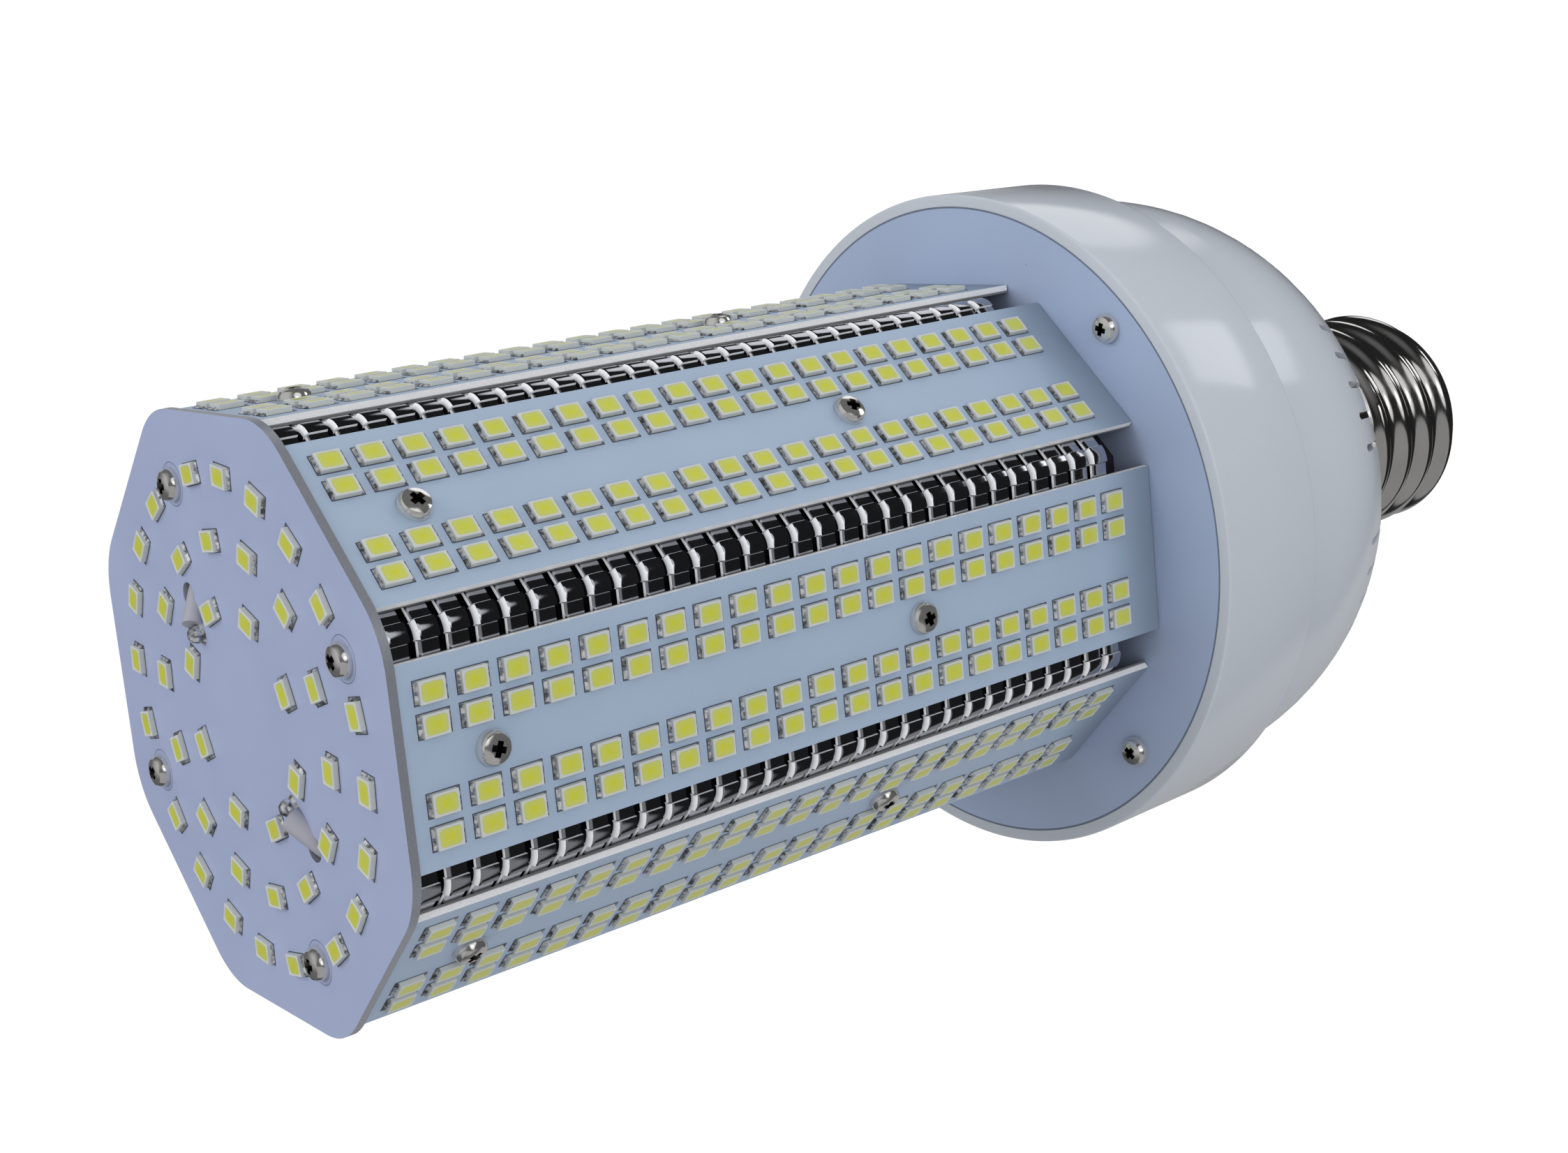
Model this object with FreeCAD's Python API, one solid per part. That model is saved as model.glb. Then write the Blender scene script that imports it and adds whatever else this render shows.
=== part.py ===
# Corn LED bulb with a large screw cap: eight LED boards round a stack of pressed
# cooling fins, an LED end plate, and a vented driver housing over the cap.
# Millimetres. The origin is the tip of the cap's centre contact, on the axis,
# and +Z runs along the axis to the LED end.
import FreeCAD, Part
import math
import os

Vector = FreeCAD.Vector
UP = Vector(0, 0, 1)
ORIGIN = Vector(0, 0, 0)

# Common fits
SLIP_FIT = 0.1            # round pieces that slip into one another
SCREW_FIT = 0.05          # screw shank to the wall of its hole

# Screw cap
THREAD_PITCH = 6.35
THREAD_CREST_RADIUS = 19.75
THREAD_ROOT_RADIUS = 17.95
THREAD_FOOT_WIDTH = 4.9
THREAD_CREST_WIDTH = 1.5
THREAD_END_GAP = 0.35
THREAD_START_ANGLE = -70.0
SHELL_WALL = 0.6
SHELL_LENGTH = 33.5
SKIRT_RADIUS = 19.3
SKIRT_LENGTH = 6.0
SKIRT_FLARE = 1.6
INSULATOR_HEIGHT = 8.5
INSULATOR_NOSE_RADIUS = 9.6
INSULATOR_SEAT = 4.5
INSULATOR_EDGE = 1.0
CONTACT_RADIUS = 8.0
CONTACT_HEIGHT = 1.8
CONTACT_TIP_RADIUS = 4.5
RIVET_RADIUS = 2.0
RIVET_REACH = 3.0

# Housing dome, with its neck and vents
HOUSING_WALL = 2.0
NECK_RADIUS = 22.5
NECK_LENGTH = 6.7
SPIGOT_LENGTH = 5.4
DOME_CURVE_RADIUS = 41.0
DOME_MOUTH_DRAFT = 0.5
DOME_MOUTH_HEIGHT = 8.0
LEDGE_WIDTH = 2.0
LEDGE_HEIGHT = 1.5
VENTS_PER_GROUP = 5
VENT_STEP = 6.5
VENT_WIDTH = 1.1
VENT_TOP_DROP = 15.3
VENT_DROP = 33.0

# Housing ring and the metal disc in its front
RING_HEIGHT = 20.5
RING_FRONT_RADIUS = 53.1
RING_DRAFT = 0.45
RING_STEP = 3.15
RING_RIM_WIDTH = 1.8
RING_EDGE = 0.3
RING_WALL = 2.2
RING_LIP = 2.0
DISC_THICKNESS = 1.5
DISC_BORE_RADIUS = 24.0
DISC_SCREW_INSET = 5.1
DISC_SCREW_COUNT = 4
BOSS_RADIUS = 3.5

# Fin stack and its core tube
SIDES = 8
FIN_APOTHEM = 37.7
FIN_CORNER_RADIUS = 40.2
FIN_THICKNESS = 0.4
FIN_PITCH = 4.0
FIN_FOOT_GAP = 9.0
CORE_APOTHEM = 32.0
CORE_WALL = 2.4
PORT_RADIUS = 3.5

# Side boards and their LEDs
BOARD_WIDTH = 24.8
BOARD_LENGTH = 126.5
BOARD_THICKNESS = 1.2
BOARD_LIFT = 0.2
BOARD_TOP_GAP = 0.1
BOARD_SCREW_DROPS = (11.3, 79.6)
LED_LENGTH = 3.8
LED_WIDTH = 2.8
LED_HEIGHT = 0.75
LED_PITCH = 5.7
LED_INNER_ROW = 4.69
LED_ROW_STEP = 3.98
LED_TOP_MARGIN = 4.2
LED_FOOT_MARGIN = 8.0

# End plate and its LEDs
PLATE_OVERHANG = 0.4
PLATE_CORNER_RADIUS = 12.0
PLATE_THICKNESS = 1.2
PLATE_SCREW_CIRCLE = 31.85
PLATE_SCREW_COUNT = 4
PLATE_LED_HEIGHT = 0.8
OUTER_LED_CIRCLE = 31.83
OUTER_LED_STEP = 16.45
OUTER_LEDS_PER_GROUP = 5
MIDDLE_LED_CIRCLE = 23.1
MIDDLE_LED_COUNT = 14
INNER_LED_CIRCLE = 14.4
INNER_LED_COUNT = 8

# Two lead wires on the end plate, each from a hole to a solder joint
LEAD_1_HOLE_ANGLE = 84.4
LEAD_1_HOLE_CIRCLE = 19.1
LEAD_1_JOINT_ANGLE = 89.7
LEAD_1_JOINT_CIRCLE = 14.0
LEAD_2_HOLE_ANGLE = -88.0
LEAD_2_HOLE_CIRCLE = 20.5
LEAD_2_JOINT_ANGLE = -86.3
LEAD_2_JOINT_CIRCLE = 14.2
WIRE_RADIUS = 1.3
WIRE_BEND = 2.4
WIRE_RISE = 0.5
WIRE_HOLE_GAP = 0.4
JOINT_RADIUS = 1.1
JOINT_HEIGHT = 1.6

# Pan-head screws: head radius, head height, shank radius, shank length
BOARD_SCREW = (2.2, 1.7, 1.45, 4.5)
PLATE_SCREW = (2.3, 1.7, 1.45, 9.0)
DISC_SCREW = (2.5, 1.8, 1.45, 9.0)
CORE_SCREW = (2.3, 1.7, 1.45, 9.0)
DRIVER_SCREW = (2.2, 1.6, 1.25, 8.0)

# Driver, a round board with its parts
DRIVER_THICKNESS = 1.6
DRIVER_SCREW_INSET = 7.0
DRIVER_SCREW_COUNT = 2
TRANSFORMER_SIZE = (26.0, 22.0, 17.0)
TRANSFORMER_YOKE = 5.0
CAPACITOR_RADIUS = 8.0
CAPACITOR_HEIGHT = 25.0
CAPACITOR_OFFSET = 20.0
CHOKE_RADIUS = 10.0
CHOKE_BORE_RADIUS = 4.0
CHOKE_HEIGHT = 8.0
CHOKE_OFFSET = 25.5
FILM_CAPACITOR_SIZE = (8.0, 18.0, 12.0)
FILM_CAPACITOR_OFFSET = 27.0
CAP_LEAD_RADIUS = 0.9
CAP_LEAD_OFFSET = 10.0
CAP_LEAD_BEND = 3.0
CAP_LEAD_DROP = 12.0

# Radii of the housing, from its front edge in
ring_rear_radius = RING_FRONT_RADIUS - RING_DRAFT
ring_inner_radius = ring_rear_radius - RING_WALL
recess_radius = RING_FRONT_RADIUS - RING_RIM_WIDTH
disc_radius = recess_radius - SLIP_FIT
disc_screw_circle = disc_radius - DISC_SCREW_INSET
mouth_radius = ring_rear_radius - RING_STEP
dome_radius = mouth_radius - DOME_MOUTH_DRAFT
dome_inner_radius = dome_radius - HOUSING_WALL
dome_centre_radius = dome_radius - DOME_CURVE_RADIUS
driver_screw_circle = dome_inner_radius - DRIVER_SCREW_INSET

# Heights along the axis, from the contact's tip up
shell_z = INSULATOR_HEIGHT
neck_z = shell_z + SHELL_LENGTH
dome_z = neck_z + NECK_LENGTH
neck_offset = NECK_RADIUS - dome_centre_radius
widest_z = dome_z + math.sqrt(DOME_CURVE_RADIUS ** 2 - neck_offset ** 2)
ring_z = widest_z + DOME_MOUTH_HEIGHT
lip_z = ring_z + RING_LIP
flange_z = lip_z + HOUSING_WALL
disc_top_z = ring_z + RING_HEIGHT
disc_z = disc_top_z - DISC_THICKNESS
board_z = disc_top_z + BOARD_LIFT
board_top_z = board_z + BOARD_LENGTH
plate_z = board_top_z + BOARD_TOP_GAP
plate_top_z = plate_z + PLATE_THICKNESS
driver_z = widest_z + LEDGE_WIDTH + LEDGE_HEIGHT
driver_top_z = driver_z + DRIVER_THICKNESS

# Distances that follow from the sizes above
half_turn = 180.0 / SIDES
board_face = FIN_APOTHEM + BOARD_THICKNESS
plate_apothem = board_face + PLATE_OVERHANG
shell_inner_radius = THREAD_ROOT_RADIUS - SHELL_WALL
skirt_inner_radius = SKIRT_RADIUS - SHELL_WALL
spigot_radius = skirt_inner_radius - SLIP_FIT
spigot_bore = spigot_radius - HOUSING_WALL

# Places of the leads' holes and solder joints on the end plate
lead_holes = ((LEAD_1_HOLE_ANGLE, LEAD_1_HOLE_CIRCLE),
              (LEAD_2_HOLE_ANGLE, LEAD_2_HOLE_CIRCLE))
lead_joints = ((LEAD_1_JOINT_ANGLE, LEAD_1_JOINT_CIRCLE),
               (LEAD_2_JOINT_ANGLE, LEAD_2_JOINT_CIRCLE))


def polar(radius, degrees, z=0.0):
    """Point at a radius and an angle round the axis."""
    angle = math.radians(degrees)
    return Vector(radius * math.cos(angle), radius * math.sin(angle), z)


def turned(shape, degrees):
    """Copy of a shape, turned about the axis."""
    copy = shape.copy()
    copy.rotate(ORIGIN, UP, degrees)
    return copy


def side_angles():
    """Directions of the flat sides."""
    return [side * 360.0 / SIDES for side in range(SIDES)]


def round_bar(radius, z_low, z_high, centre=ORIGIN):
    """Upright cylinder between two heights."""
    base = Vector(centre.x, centre.y, z_low)
    return Part.makeCylinder(radius, z_high - z_low, base)


def upright_box(x_low, x_high, width, z_low, z_high):
    """Box centred on the X axis."""
    base = Vector(x_low, -width / 2, z_low)
    return Part.makeBox(x_high - x_low, width, z_high - z_low, base)


def prism(points, z_low, z_high):
    """Upright prism over a closed outline."""
    outline = [Vector(point.x, point.y, z_low) for point in points]
    face = Part.Face(Part.makePolygon(outline + outline[:1]))
    return face.extrude(UP * (z_high - z_low))


def octagon(apothem, z_low, z_high):
    """Prism whose flats face the side directions."""
    corner = apothem / math.cos(math.radians(half_turn))
    points = [polar(corner, angle + half_turn) for angle in side_angles()]
    return prism(points, z_low, z_high)


def spun(*runs):
    """Solid of revolution. Each run is a (radius, z) point, or three points of
    an arc that starts at the point before it."""
    edges = []
    here = None
    for run in runs + runs[:1]:
        if len(run) == 2:
            there = Vector(run[0], 0, run[1])
            if here is not None:
                edges.append(Part.LineSegment(here, there).toShape())
        else:
            middle = Vector(run[0], 0, run[1])
            there = Vector(run[2], 0, run[3])
            edges.append(Part.Arc(here, middle, there).toShape())
        here = there
    face = Part.Face(Part.Wire(edges))
    return face.revolve(ORIGIN, UP, 360)


def screw(kind):
    """Screw along +Z with the seat of its head at the origin."""
    head_radius, head_height, shank_radius, shank_length = kind
    head = round_bar(head_radius, 0, head_height)
    shank = round_bar(shank_radius, -shank_length, 0)
    return head.fuse(shank).removeSplitter()


def shank_hole(kind):
    """Space that a screw's shank takes, with its clearance."""
    shank_radius, shank_length = kind[2:]
    return round_bar(shank_radius + SCREW_FIT, -shank_length, 0)


def upright_places(circle, count, first, z, flipped=False):
    """Placements of upright screws round a circle."""
    turn = FreeCAD.Rotation(Vector(1, 0, 0), 180 if flipped else 0)
    angles = [first + index * 360.0 / count for index in range(count)]
    return [FreeCAD.Placement(polar(circle, angle, z), turn) for angle in angles]


def board_screw_places():
    """Placements of the screws on the faces of the side boards."""
    places = []
    for angle in side_angles():
        lean = FreeCAD.Rotation(Vector(0, 1, 0), 90)
        turn = FreeCAD.Rotation(UP, angle).multiply(lean)
        for drop in BOARD_SCREW_DROPS:
            seat = polar(board_face, angle, board_top_z - drop)
            places.append(FreeCAD.Placement(seat, turn))
    return places


def placed(shape, places):
    """One copy of a shape at each placement."""
    copies = []
    for place in places:
        copy = shape.copy()
        copy.Placement = place
        copies.append(copy)
    return copies


def drilled(shape, kind, places):
    """Shape with the screws' clearance holes cut through it."""
    return shape.cut(placed(shank_hole(kind), places))


plate_screw_places = upright_places(
    PLATE_SCREW_CIRCLE, PLATE_SCREW_COUNT, -half_turn, plate_top_z)
core_screw_places = upright_places(
    PLATE_SCREW_CIRCLE, PLATE_SCREW_COUNT, -half_turn, disc_z, flipped=True)
disc_screw_places = upright_places(
    disc_screw_circle, DISC_SCREW_COUNT, 0.0, disc_top_z)
driver_screw_places = upright_places(
    driver_screw_circle, DRIVER_SCREW_COUNT, 0.0, driver_top_z)


def led(height):
    """LED package lying on z = 0, its long side along Y."""
    base = Vector(-LED_WIDTH / 2, -LED_LENGTH / 2, 0)
    return Part.makeBox(LED_WIDTH, LED_LENGTH, height, base)


def board_leds(angle):
    """LEDs of one side board, in four rows beside its screws."""
    count = int((BOARD_LENGTH - LED_TOP_MARGIN - LED_FOOT_MARGIN) / LED_PITCH) + 1
    rows = [side * (LED_INNER_ROW + step * LED_ROW_STEP)
            for side in (-1, 1) for step in (0, 1)]
    leds = []
    for row in rows:
        for index in range(count):
            z = board_top_z - LED_TOP_MARGIN - index * LED_PITCH
            base = Vector(board_face, row - LED_WIDTH / 2, z - LED_LENGTH / 2)
            leds.append(Part.makeBox(LED_HEIGHT, LED_WIDTH, LED_LENGTH, base))
    return turned(Part.makeCompound(leds), angle)


def plate_leds():
    """LEDs of the end plate, in three circles, long sides round the circle."""
    group_turn = 360.0 / PLATE_SCREW_COUNT
    middle = (OUTER_LEDS_PER_GROUP - 1) / 2
    spots = []
    for group in range(PLATE_SCREW_COUNT):
        for index in range(OUTER_LEDS_PER_GROUP):
            angle = half_turn + group * group_turn + (index - middle) * OUTER_LED_STEP
            spots.append((OUTER_LED_CIRCLE, angle))
    for index in range(MIDDLE_LED_COUNT):
        spots.append((MIDDLE_LED_CIRCLE, index * 360.0 / MIDDLE_LED_COUNT))
    for index in range(INNER_LED_COUNT):
        spots.append((INNER_LED_CIRCLE, half_turn + index * 360.0 / INNER_LED_COUNT))
    package = led(PLATE_LED_HEIGHT)
    places = [FreeCAD.Placement(polar(circle, angle, plate_top_z),
                                FreeCAD.Rotation(UP, angle))
              for circle, angle in spots]
    return Part.makeCompound(placed(package, places))


def end_plate():
    """Octagonal plate with rounded corners, over the boards and the fins."""
    plate = octagon(plate_apothem, plate_z, plate_top_z)
    corners = [edge for edge in plate.Edges
               if abs(edge.Vertexes[0].Z - edge.Vertexes[1].Z) > PLATE_THICKNESS / 2]
    plate = plate.makeFillet(PLATE_CORNER_RADIUS, corners)
    plate = drilled(plate, PLATE_SCREW, plate_screw_places)
    holes = [round_bar(WIRE_RADIUS + WIRE_HOLE_GAP, plate_z, plate_top_z, polar(radius, angle))
             for angle, radius in lead_holes]
    return plate.cut(holes)


def led_board(angle):
    """Flat board on one side of the fin stack."""
    board = upright_box(FIN_APOTHEM, board_face, BOARD_WIDTH, board_z, board_top_z)
    return drilled(turned(board, angle), BOARD_SCREW, board_screw_places())


def fin_outline():
    """Octagon with its corners cut square across."""
    corner = FIN_APOTHEM / math.cos(math.radians(half_turn))
    cut = (corner - FIN_CORNER_RADIUS) / math.tan(math.radians(half_turn))
    half_side = FIN_APOTHEM * math.tan(math.radians(half_turn))
    reach = half_side - cut / math.cos(math.radians(half_turn))
    points = []
    for angle in side_angles():
        for side in (-1, 1):
            point = Vector(FIN_APOTHEM, side * reach, 0)
            turn = FreeCAD.Rotation(UP, angle)
            points.append(turn.multVec(point))
    return points


def fin_stack():
    """Thin fins pressed on the core tube, from the end plate down."""
    blank = prism(fin_outline(), 0, FIN_THICKNESS)
    blank = blank.cut(octagon(CORE_APOTHEM, 0, FIN_THICKNESS))
    count = int((plate_z - disc_top_z - FIN_FOOT_GAP - FIN_THICKNESS) / FIN_PITCH) + 1
    shank_radius, shank_length = BOARD_SCREW[2:]
    notch_width = 2 * (shank_radius + SCREW_FIT)
    notch_foot = board_face - shank_length - SCREW_FIT
    slot = upright_box(notch_foot, FIN_APOTHEM, notch_width, 0, FIN_THICKNESS)
    notches = [turned(slot, angle) for angle in side_angles()]
    notched = blank.cut(notches)
    fins = []
    for index in range(count):
        z = plate_z - FIN_THICKNESS - index * FIN_PITCH
        crossed = any(abs(z + FIN_THICKNESS / 2 - (board_top_z - drop))
                      < (notch_width + FIN_THICKNESS) / 2
                      for drop in BOARD_SCREW_DROPS)
        fin = (notched if crossed else blank).copy()
        fin.translate(UP * z)
        fins.append(fin)
    return Part.makeCompound(fins)


def fin_core():
    """Extruded tube that carries the fins, with screw ports in four corners."""
    outside = octagon(CORE_APOTHEM, disc_top_z, plate_z)
    inside = octagon(CORE_APOTHEM - CORE_WALL, disc_top_z, plate_z)
    ports = [round_bar(PORT_RADIUS, disc_top_z, plate_z, place.Base)
             for place in plate_screw_places]
    core = outside.cut(inside).fuse(outside.common(Part.makeCompound(ports)))
    core = drilled(core.removeSplitter(), PLATE_SCREW, plate_screw_places)
    return drilled(core, CORE_SCREW, core_screw_places)


def base_disc():
    """Metal disc that closes the housing and carries the core tube."""
    disc = spun((DISC_BORE_RADIUS, disc_z), (disc_radius, disc_z),
                (disc_radius, disc_top_z), (DISC_BORE_RADIUS, disc_top_z))
    disc = drilled(disc, DISC_SCREW, disc_screw_places)
    return drilled(disc, CORE_SCREW, core_screw_places)


def housing_ring():
    """Drafted ring with a recess for the disc, a rear lip and screw bosses."""
    lip_radius = mouth_radius + SLIP_FIT
    ring = spun((lip_radius, ring_z),
                (ring_rear_radius, ring_z),
                (RING_FRONT_RADIUS, disc_top_z - RING_EDGE),
                (RING_FRONT_RADIUS - RING_EDGE, disc_top_z),
                (recess_radius, disc_top_z),
                (recess_radius, disc_z),
                (ring_inner_radius, disc_z),
                (ring_inner_radius, lip_z),
                (lip_radius, lip_z))
    post = round_bar(BOSS_RADIUS, flange_z, disc_z, Vector(disc_screw_circle, 0, 0))
    rib = upright_box(disc_screw_circle, ring_inner_radius + RING_WALL / 4,
                      2 * BOSS_RADIUS, flange_z, disc_z)
    boss = post.fuse(rib)
    turns = [index * 360.0 / DISC_SCREW_COUNT for index in range(DISC_SCREW_COUNT)]
    ring = ring.fuse([turned(boss, turn) for turn in turns]).removeSplitter()
    return drilled(ring, DISC_SCREW, disc_screw_places)


def dome_radius_at(z, wall=0.0):
    """Radius of the dome's curve at a height, inside or outside its wall."""
    curve = DOME_CURVE_RADIUS - wall
    return dome_centre_radius + math.sqrt(curve ** 2 - (widest_z - z) ** 2)


def dome_arc(start_z, end_z, wall=0.0):
    """Middle and end of the dome's curve between two heights."""
    middle_z = (start_z + end_z) / 2
    return (dome_radius_at(middle_z, wall), middle_z, dome_radius_at(end_z, wall), end_z)


def vent_cutters():
    """Radial cutters for the groups of vents, one group below each corner."""
    width = VENT_WIDTH
    low_z = widest_z - VENT_DROP
    high_z = widest_z - VENT_TOP_DROP
    cutter = upright_box(NECK_RADIUS, dome_radius, width, low_z, high_z)
    middle = (VENTS_PER_GROUP - 1) / 2
    turns = [angle + half_turn + (index - middle) * VENT_STEP
             for angle in side_angles() for index in range(VENTS_PER_GROUP)]
    return [turned(cutter, turn) for turn in turns]


def housing_dome():
    """Vented dome with a neck for the cap and a ledge for the driver."""
    neck_bore = NECK_RADIUS - HOUSING_WALL
    curve = DOME_CURVE_RADIUS - HOUSING_WALL
    inner_drop = math.sqrt(curve ** 2 - (neck_bore - dome_centre_radius) ** 2)
    ledge_radius = dome_inner_radius - LEDGE_WIDTH
    floor_z = neck_z + HOUSING_WALL
    dome = spun((NECK_RADIUS, neck_z),
                (NECK_RADIUS, dome_z),
                dome_arc(dome_z, widest_z),
                (mouth_radius, ring_z),
                (mouth_radius, lip_z),
                (ring_inner_radius - SLIP_FIT, lip_z),
                (ring_inner_radius - SLIP_FIT, flange_z),
                (dome_inner_radius, flange_z),
                (dome_inner_radius, driver_z),
                (ledge_radius, driver_z),
                (ledge_radius, driver_z - LEDGE_HEIGHT),
                (dome_inner_radius, widest_z),
                dome_arc(widest_z, widest_z - inner_drop, HOUSING_WALL),
                (neck_bore, floor_z),
                (spigot_bore, floor_z),
                (spigot_bore, neck_z - SPIGOT_LENGTH),
                (spigot_radius, neck_z - SPIGOT_LENGTH),
                (spigot_radius, neck_z))
    post_reach = driver_screw_circle + BOSS_RADIUS
    post_foot_z = widest_z - math.sqrt(
        DOME_CURVE_RADIUS ** 2 - (post_reach - dome_centre_radius) ** 2)
    envelope = spun((0, dome_z), (NECK_RADIUS, dome_z), dome_arc(dome_z, widest_z),
                    (dome_radius, driver_z), (0, driver_z))
    posts = [round_bar(BOSS_RADIUS, post_foot_z, driver_z, place.Base).common(envelope)
             for place in driver_screw_places]
    dome = dome.cut(vent_cutters())
    dome = dome.fuse(posts).removeSplitter()
    return drilled(dome, DRIVER_SCREW, driver_screw_places)


def thread_ridge():
    """Rounded ridge of the cap's thread, wound up a right-hand helix."""
    end_margin = THREAD_FOOT_WIDTH / 2 + THREAD_END_GAP
    low_z = shell_z + end_margin
    high_z = neck_z - SKIRT_LENGTH - SKIRT_FLARE - end_margin
    sunk_radius = THREAD_ROOT_RADIUS - SHELL_WALL / 2
    shoulder_radius = (THREAD_ROOT_RADIUS + THREAD_CREST_RADIUS) / 2
    half_foot = THREAD_FOOT_WIDTH / 2
    half_crest = THREAD_CREST_WIDTH / 2
    half_shoulder = (half_foot + half_crest) / 2
    side = [(sunk_radius, half_foot),
            (shoulder_radius, half_shoulder),
            (THREAD_CREST_RADIUS, half_crest)]
    mirrored = [(radius, -z) for radius, z in reversed(side)]
    points = [Vector(radius, 0, z) for radius, z in side + mirrored]
    profile = Part.makePolygon(points + points[:1])
    helix = Part.makeHelix(THREAD_PITCH, high_z - low_z, THREAD_ROOT_RADIUS)
    ridge = Part.Wire(helix.Edges).makePipeShell([profile], True, True)
    ridge.translate(UP * low_z)
    return turned(ridge, THREAD_START_ANGLE)


def cap_shell():
    """Thin metal shell with a knuckle thread and a plain skirt."""
    skirt_z = neck_z - SKIRT_LENGTH
    tube = spun((shell_inner_radius, shell_z),
                (THREAD_ROOT_RADIUS, shell_z),
                (THREAD_ROOT_RADIUS, skirt_z - SKIRT_FLARE),
                (SKIRT_RADIUS, skirt_z),
                (SKIRT_RADIUS, neck_z),
                (skirt_inner_radius, neck_z),
                (skirt_inner_radius, skirt_z),
                (shell_inner_radius, skirt_z - SKIRT_FLARE))
    return tube.fuse(thread_ridge()).removeSplitter()


def cap_insulator():
    """Cone between the shell and the centre contact, seated in the shell."""
    seat_radius = shell_inner_radius - SLIP_FIT
    seat_z = shell_z + INSULATOR_SEAT
    bore = RIVET_RADIUS + SLIP_FIT
    return spun((bore, CONTACT_HEIGHT),
                (INSULATOR_NOSE_RADIUS, CONTACT_HEIGHT),
                (THREAD_ROOT_RADIUS - INSULATOR_EDGE, shell_z),
                (seat_radius, shell_z),
                (seat_radius, seat_z),
                (bore, seat_z))


def cap_contact():
    """Centre contact with the rivet that holds it in the insulator."""
    rivet_z = shell_z + INSULATOR_SEAT + RIVET_REACH
    return spun((0, 0),
                (CONTACT_TIP_RADIUS, 0),
                (CONTACT_RADIUS, CONTACT_HEIGHT / 2),
                (CONTACT_RADIUS, CONTACT_HEIGHT),
                (RIVET_RADIUS, CONTACT_HEIGHT),
                (RIVET_RADIUS, rivet_z),
                (0, rivet_z))


def driver_board():
    """Round circuit board that rests on the ledge of the dome."""
    board = round_bar(dome_inner_radius - SLIP_FIT, driver_z, driver_top_z)
    return drilled(board, DRIVER_SCREW, driver_screw_places)


def driver_transformer():
    """Transformer core round its winding, on top of the driver board."""
    length, width, height = TRANSFORMER_SIZE
    yoke = upright_box(-length / 2, length / 2, width, driver_top_z, driver_top_z + height)
    window = upright_box(-length / 2 + TRANSFORMER_YOKE, length / 2 - TRANSFORMER_YOKE,
                         width, driver_top_z + TRANSFORMER_YOKE,
                         driver_top_z + height - TRANSFORMER_YOKE)
    return yoke.cut(window)


def driver_winding():
    """Winding in the window of the transformer core."""
    length, width, height = TRANSFORMER_SIZE
    return upright_box(-length / 2 + TRANSFORMER_YOKE, length / 2 - TRANSFORMER_YOKE,
                       width, driver_top_z + TRANSFORMER_YOKE,
                       driver_top_z + height - TRANSFORMER_YOKE)


def driver_capacitors():
    """Two can capacitors that hang from the driver board."""
    cans = [round_bar(CAPACITOR_RADIUS, driver_z - CAPACITOR_HEIGHT, driver_z,
                      Vector(0, side * CAPACITOR_OFFSET, 0))
            for side in (-1, 1)]
    return Part.makeCompound(cans)


def driver_choke():
    """Ring choke that lies on the driver board."""
    high_z = driver_top_z + CHOKE_HEIGHT
    centre = Vector(CHOKE_OFFSET, 0, 0)
    ring = round_bar(CHOKE_RADIUS, driver_top_z, high_z, centre)
    return ring.cut(round_bar(CHOKE_BORE_RADIUS, driver_top_z, high_z, centre))


def driver_film_capacitor():
    """Box-shaped film capacitor on the driver board."""
    length, width, height = FILM_CAPACITOR_SIZE
    base = Vector(-FILM_CAPACITOR_OFFSET - length / 2, -width / 2, driver_top_z)
    return Part.makeBox(length, width, height, base)


def cap_lead_centre():
    """Lead from the driver board to the rivet of the centre contact."""
    rivet_z = shell_z + INSULATOR_SEAT + RIVET_REACH
    return round_bar(CAP_LEAD_RADIUS, rivet_z, driver_z)


def bent_wire(radius, bend, start, corner, end):
    """Round wire with one square corner, rounded by an arc."""
    back = (start - corner).normalize()
    on = (end - corner).normalize()
    inside = back + on
    bend_middle = corner + inside * bend * (1 - math.sqrt(0.5))
    path = Part.Wire([
        Part.LineSegment(start, corner + back * bend).toShape(),
        Part.Arc(corner + back * bend, bend_middle, corner + on * bend).toShape(),
        Part.LineSegment(corner + on * bend, end).toShape()])
    section = Part.Wire(Part.makeCircle(radius, start, back))
    return path.makePipeShell([section], True, True)


def cap_lead_side():
    """Lead from the driver board to the inside of the shell."""
    turn_z = neck_z - CAP_LEAD_DROP
    reach = math.sqrt(shell_inner_radius ** 2 - CAP_LEAD_RADIUS ** 2)
    return bent_wire(CAP_LEAD_RADIUS, CAP_LEAD_BEND,
                     Vector(CAP_LEAD_OFFSET, 0, driver_z),
                     Vector(CAP_LEAD_OFFSET, 0, turn_z),
                     Vector(reach, 0, turn_z))


def lead_wire(hole, joint):
    """Insulated lead from the driver up the core, through the end plate and
    over to its solder joint."""
    axis_z = plate_top_z + WIRE_RADIUS + WIRE_RISE
    start = polar(hole[1], hole[0], driver_top_z)
    corner = polar(hole[1], hole[0], axis_z)
    inward = polar(joint[1], joint[0], axis_z) - corner
    tip = corner + inward * (1 - JOINT_RADIUS / inward.Length)
    return bent_wire(WIRE_RADIUS, WIRE_BEND, start, corner, tip)


def solder_joints():
    """Domed solder joints where the leads end."""
    joints = []
    for angle, radius in lead_joints:
        joint = Part.makeCone(JOINT_RADIUS, JOINT_RADIUS / 2, JOINT_HEIGHT,
                              polar(radius, angle, plate_top_z))
        joints.append(joint)
    return Part.makeCompound(joints)


def screws(kind, places):
    """Group of like screws."""
    return Part.makeCompound(placed(screw(kind), places))


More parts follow.
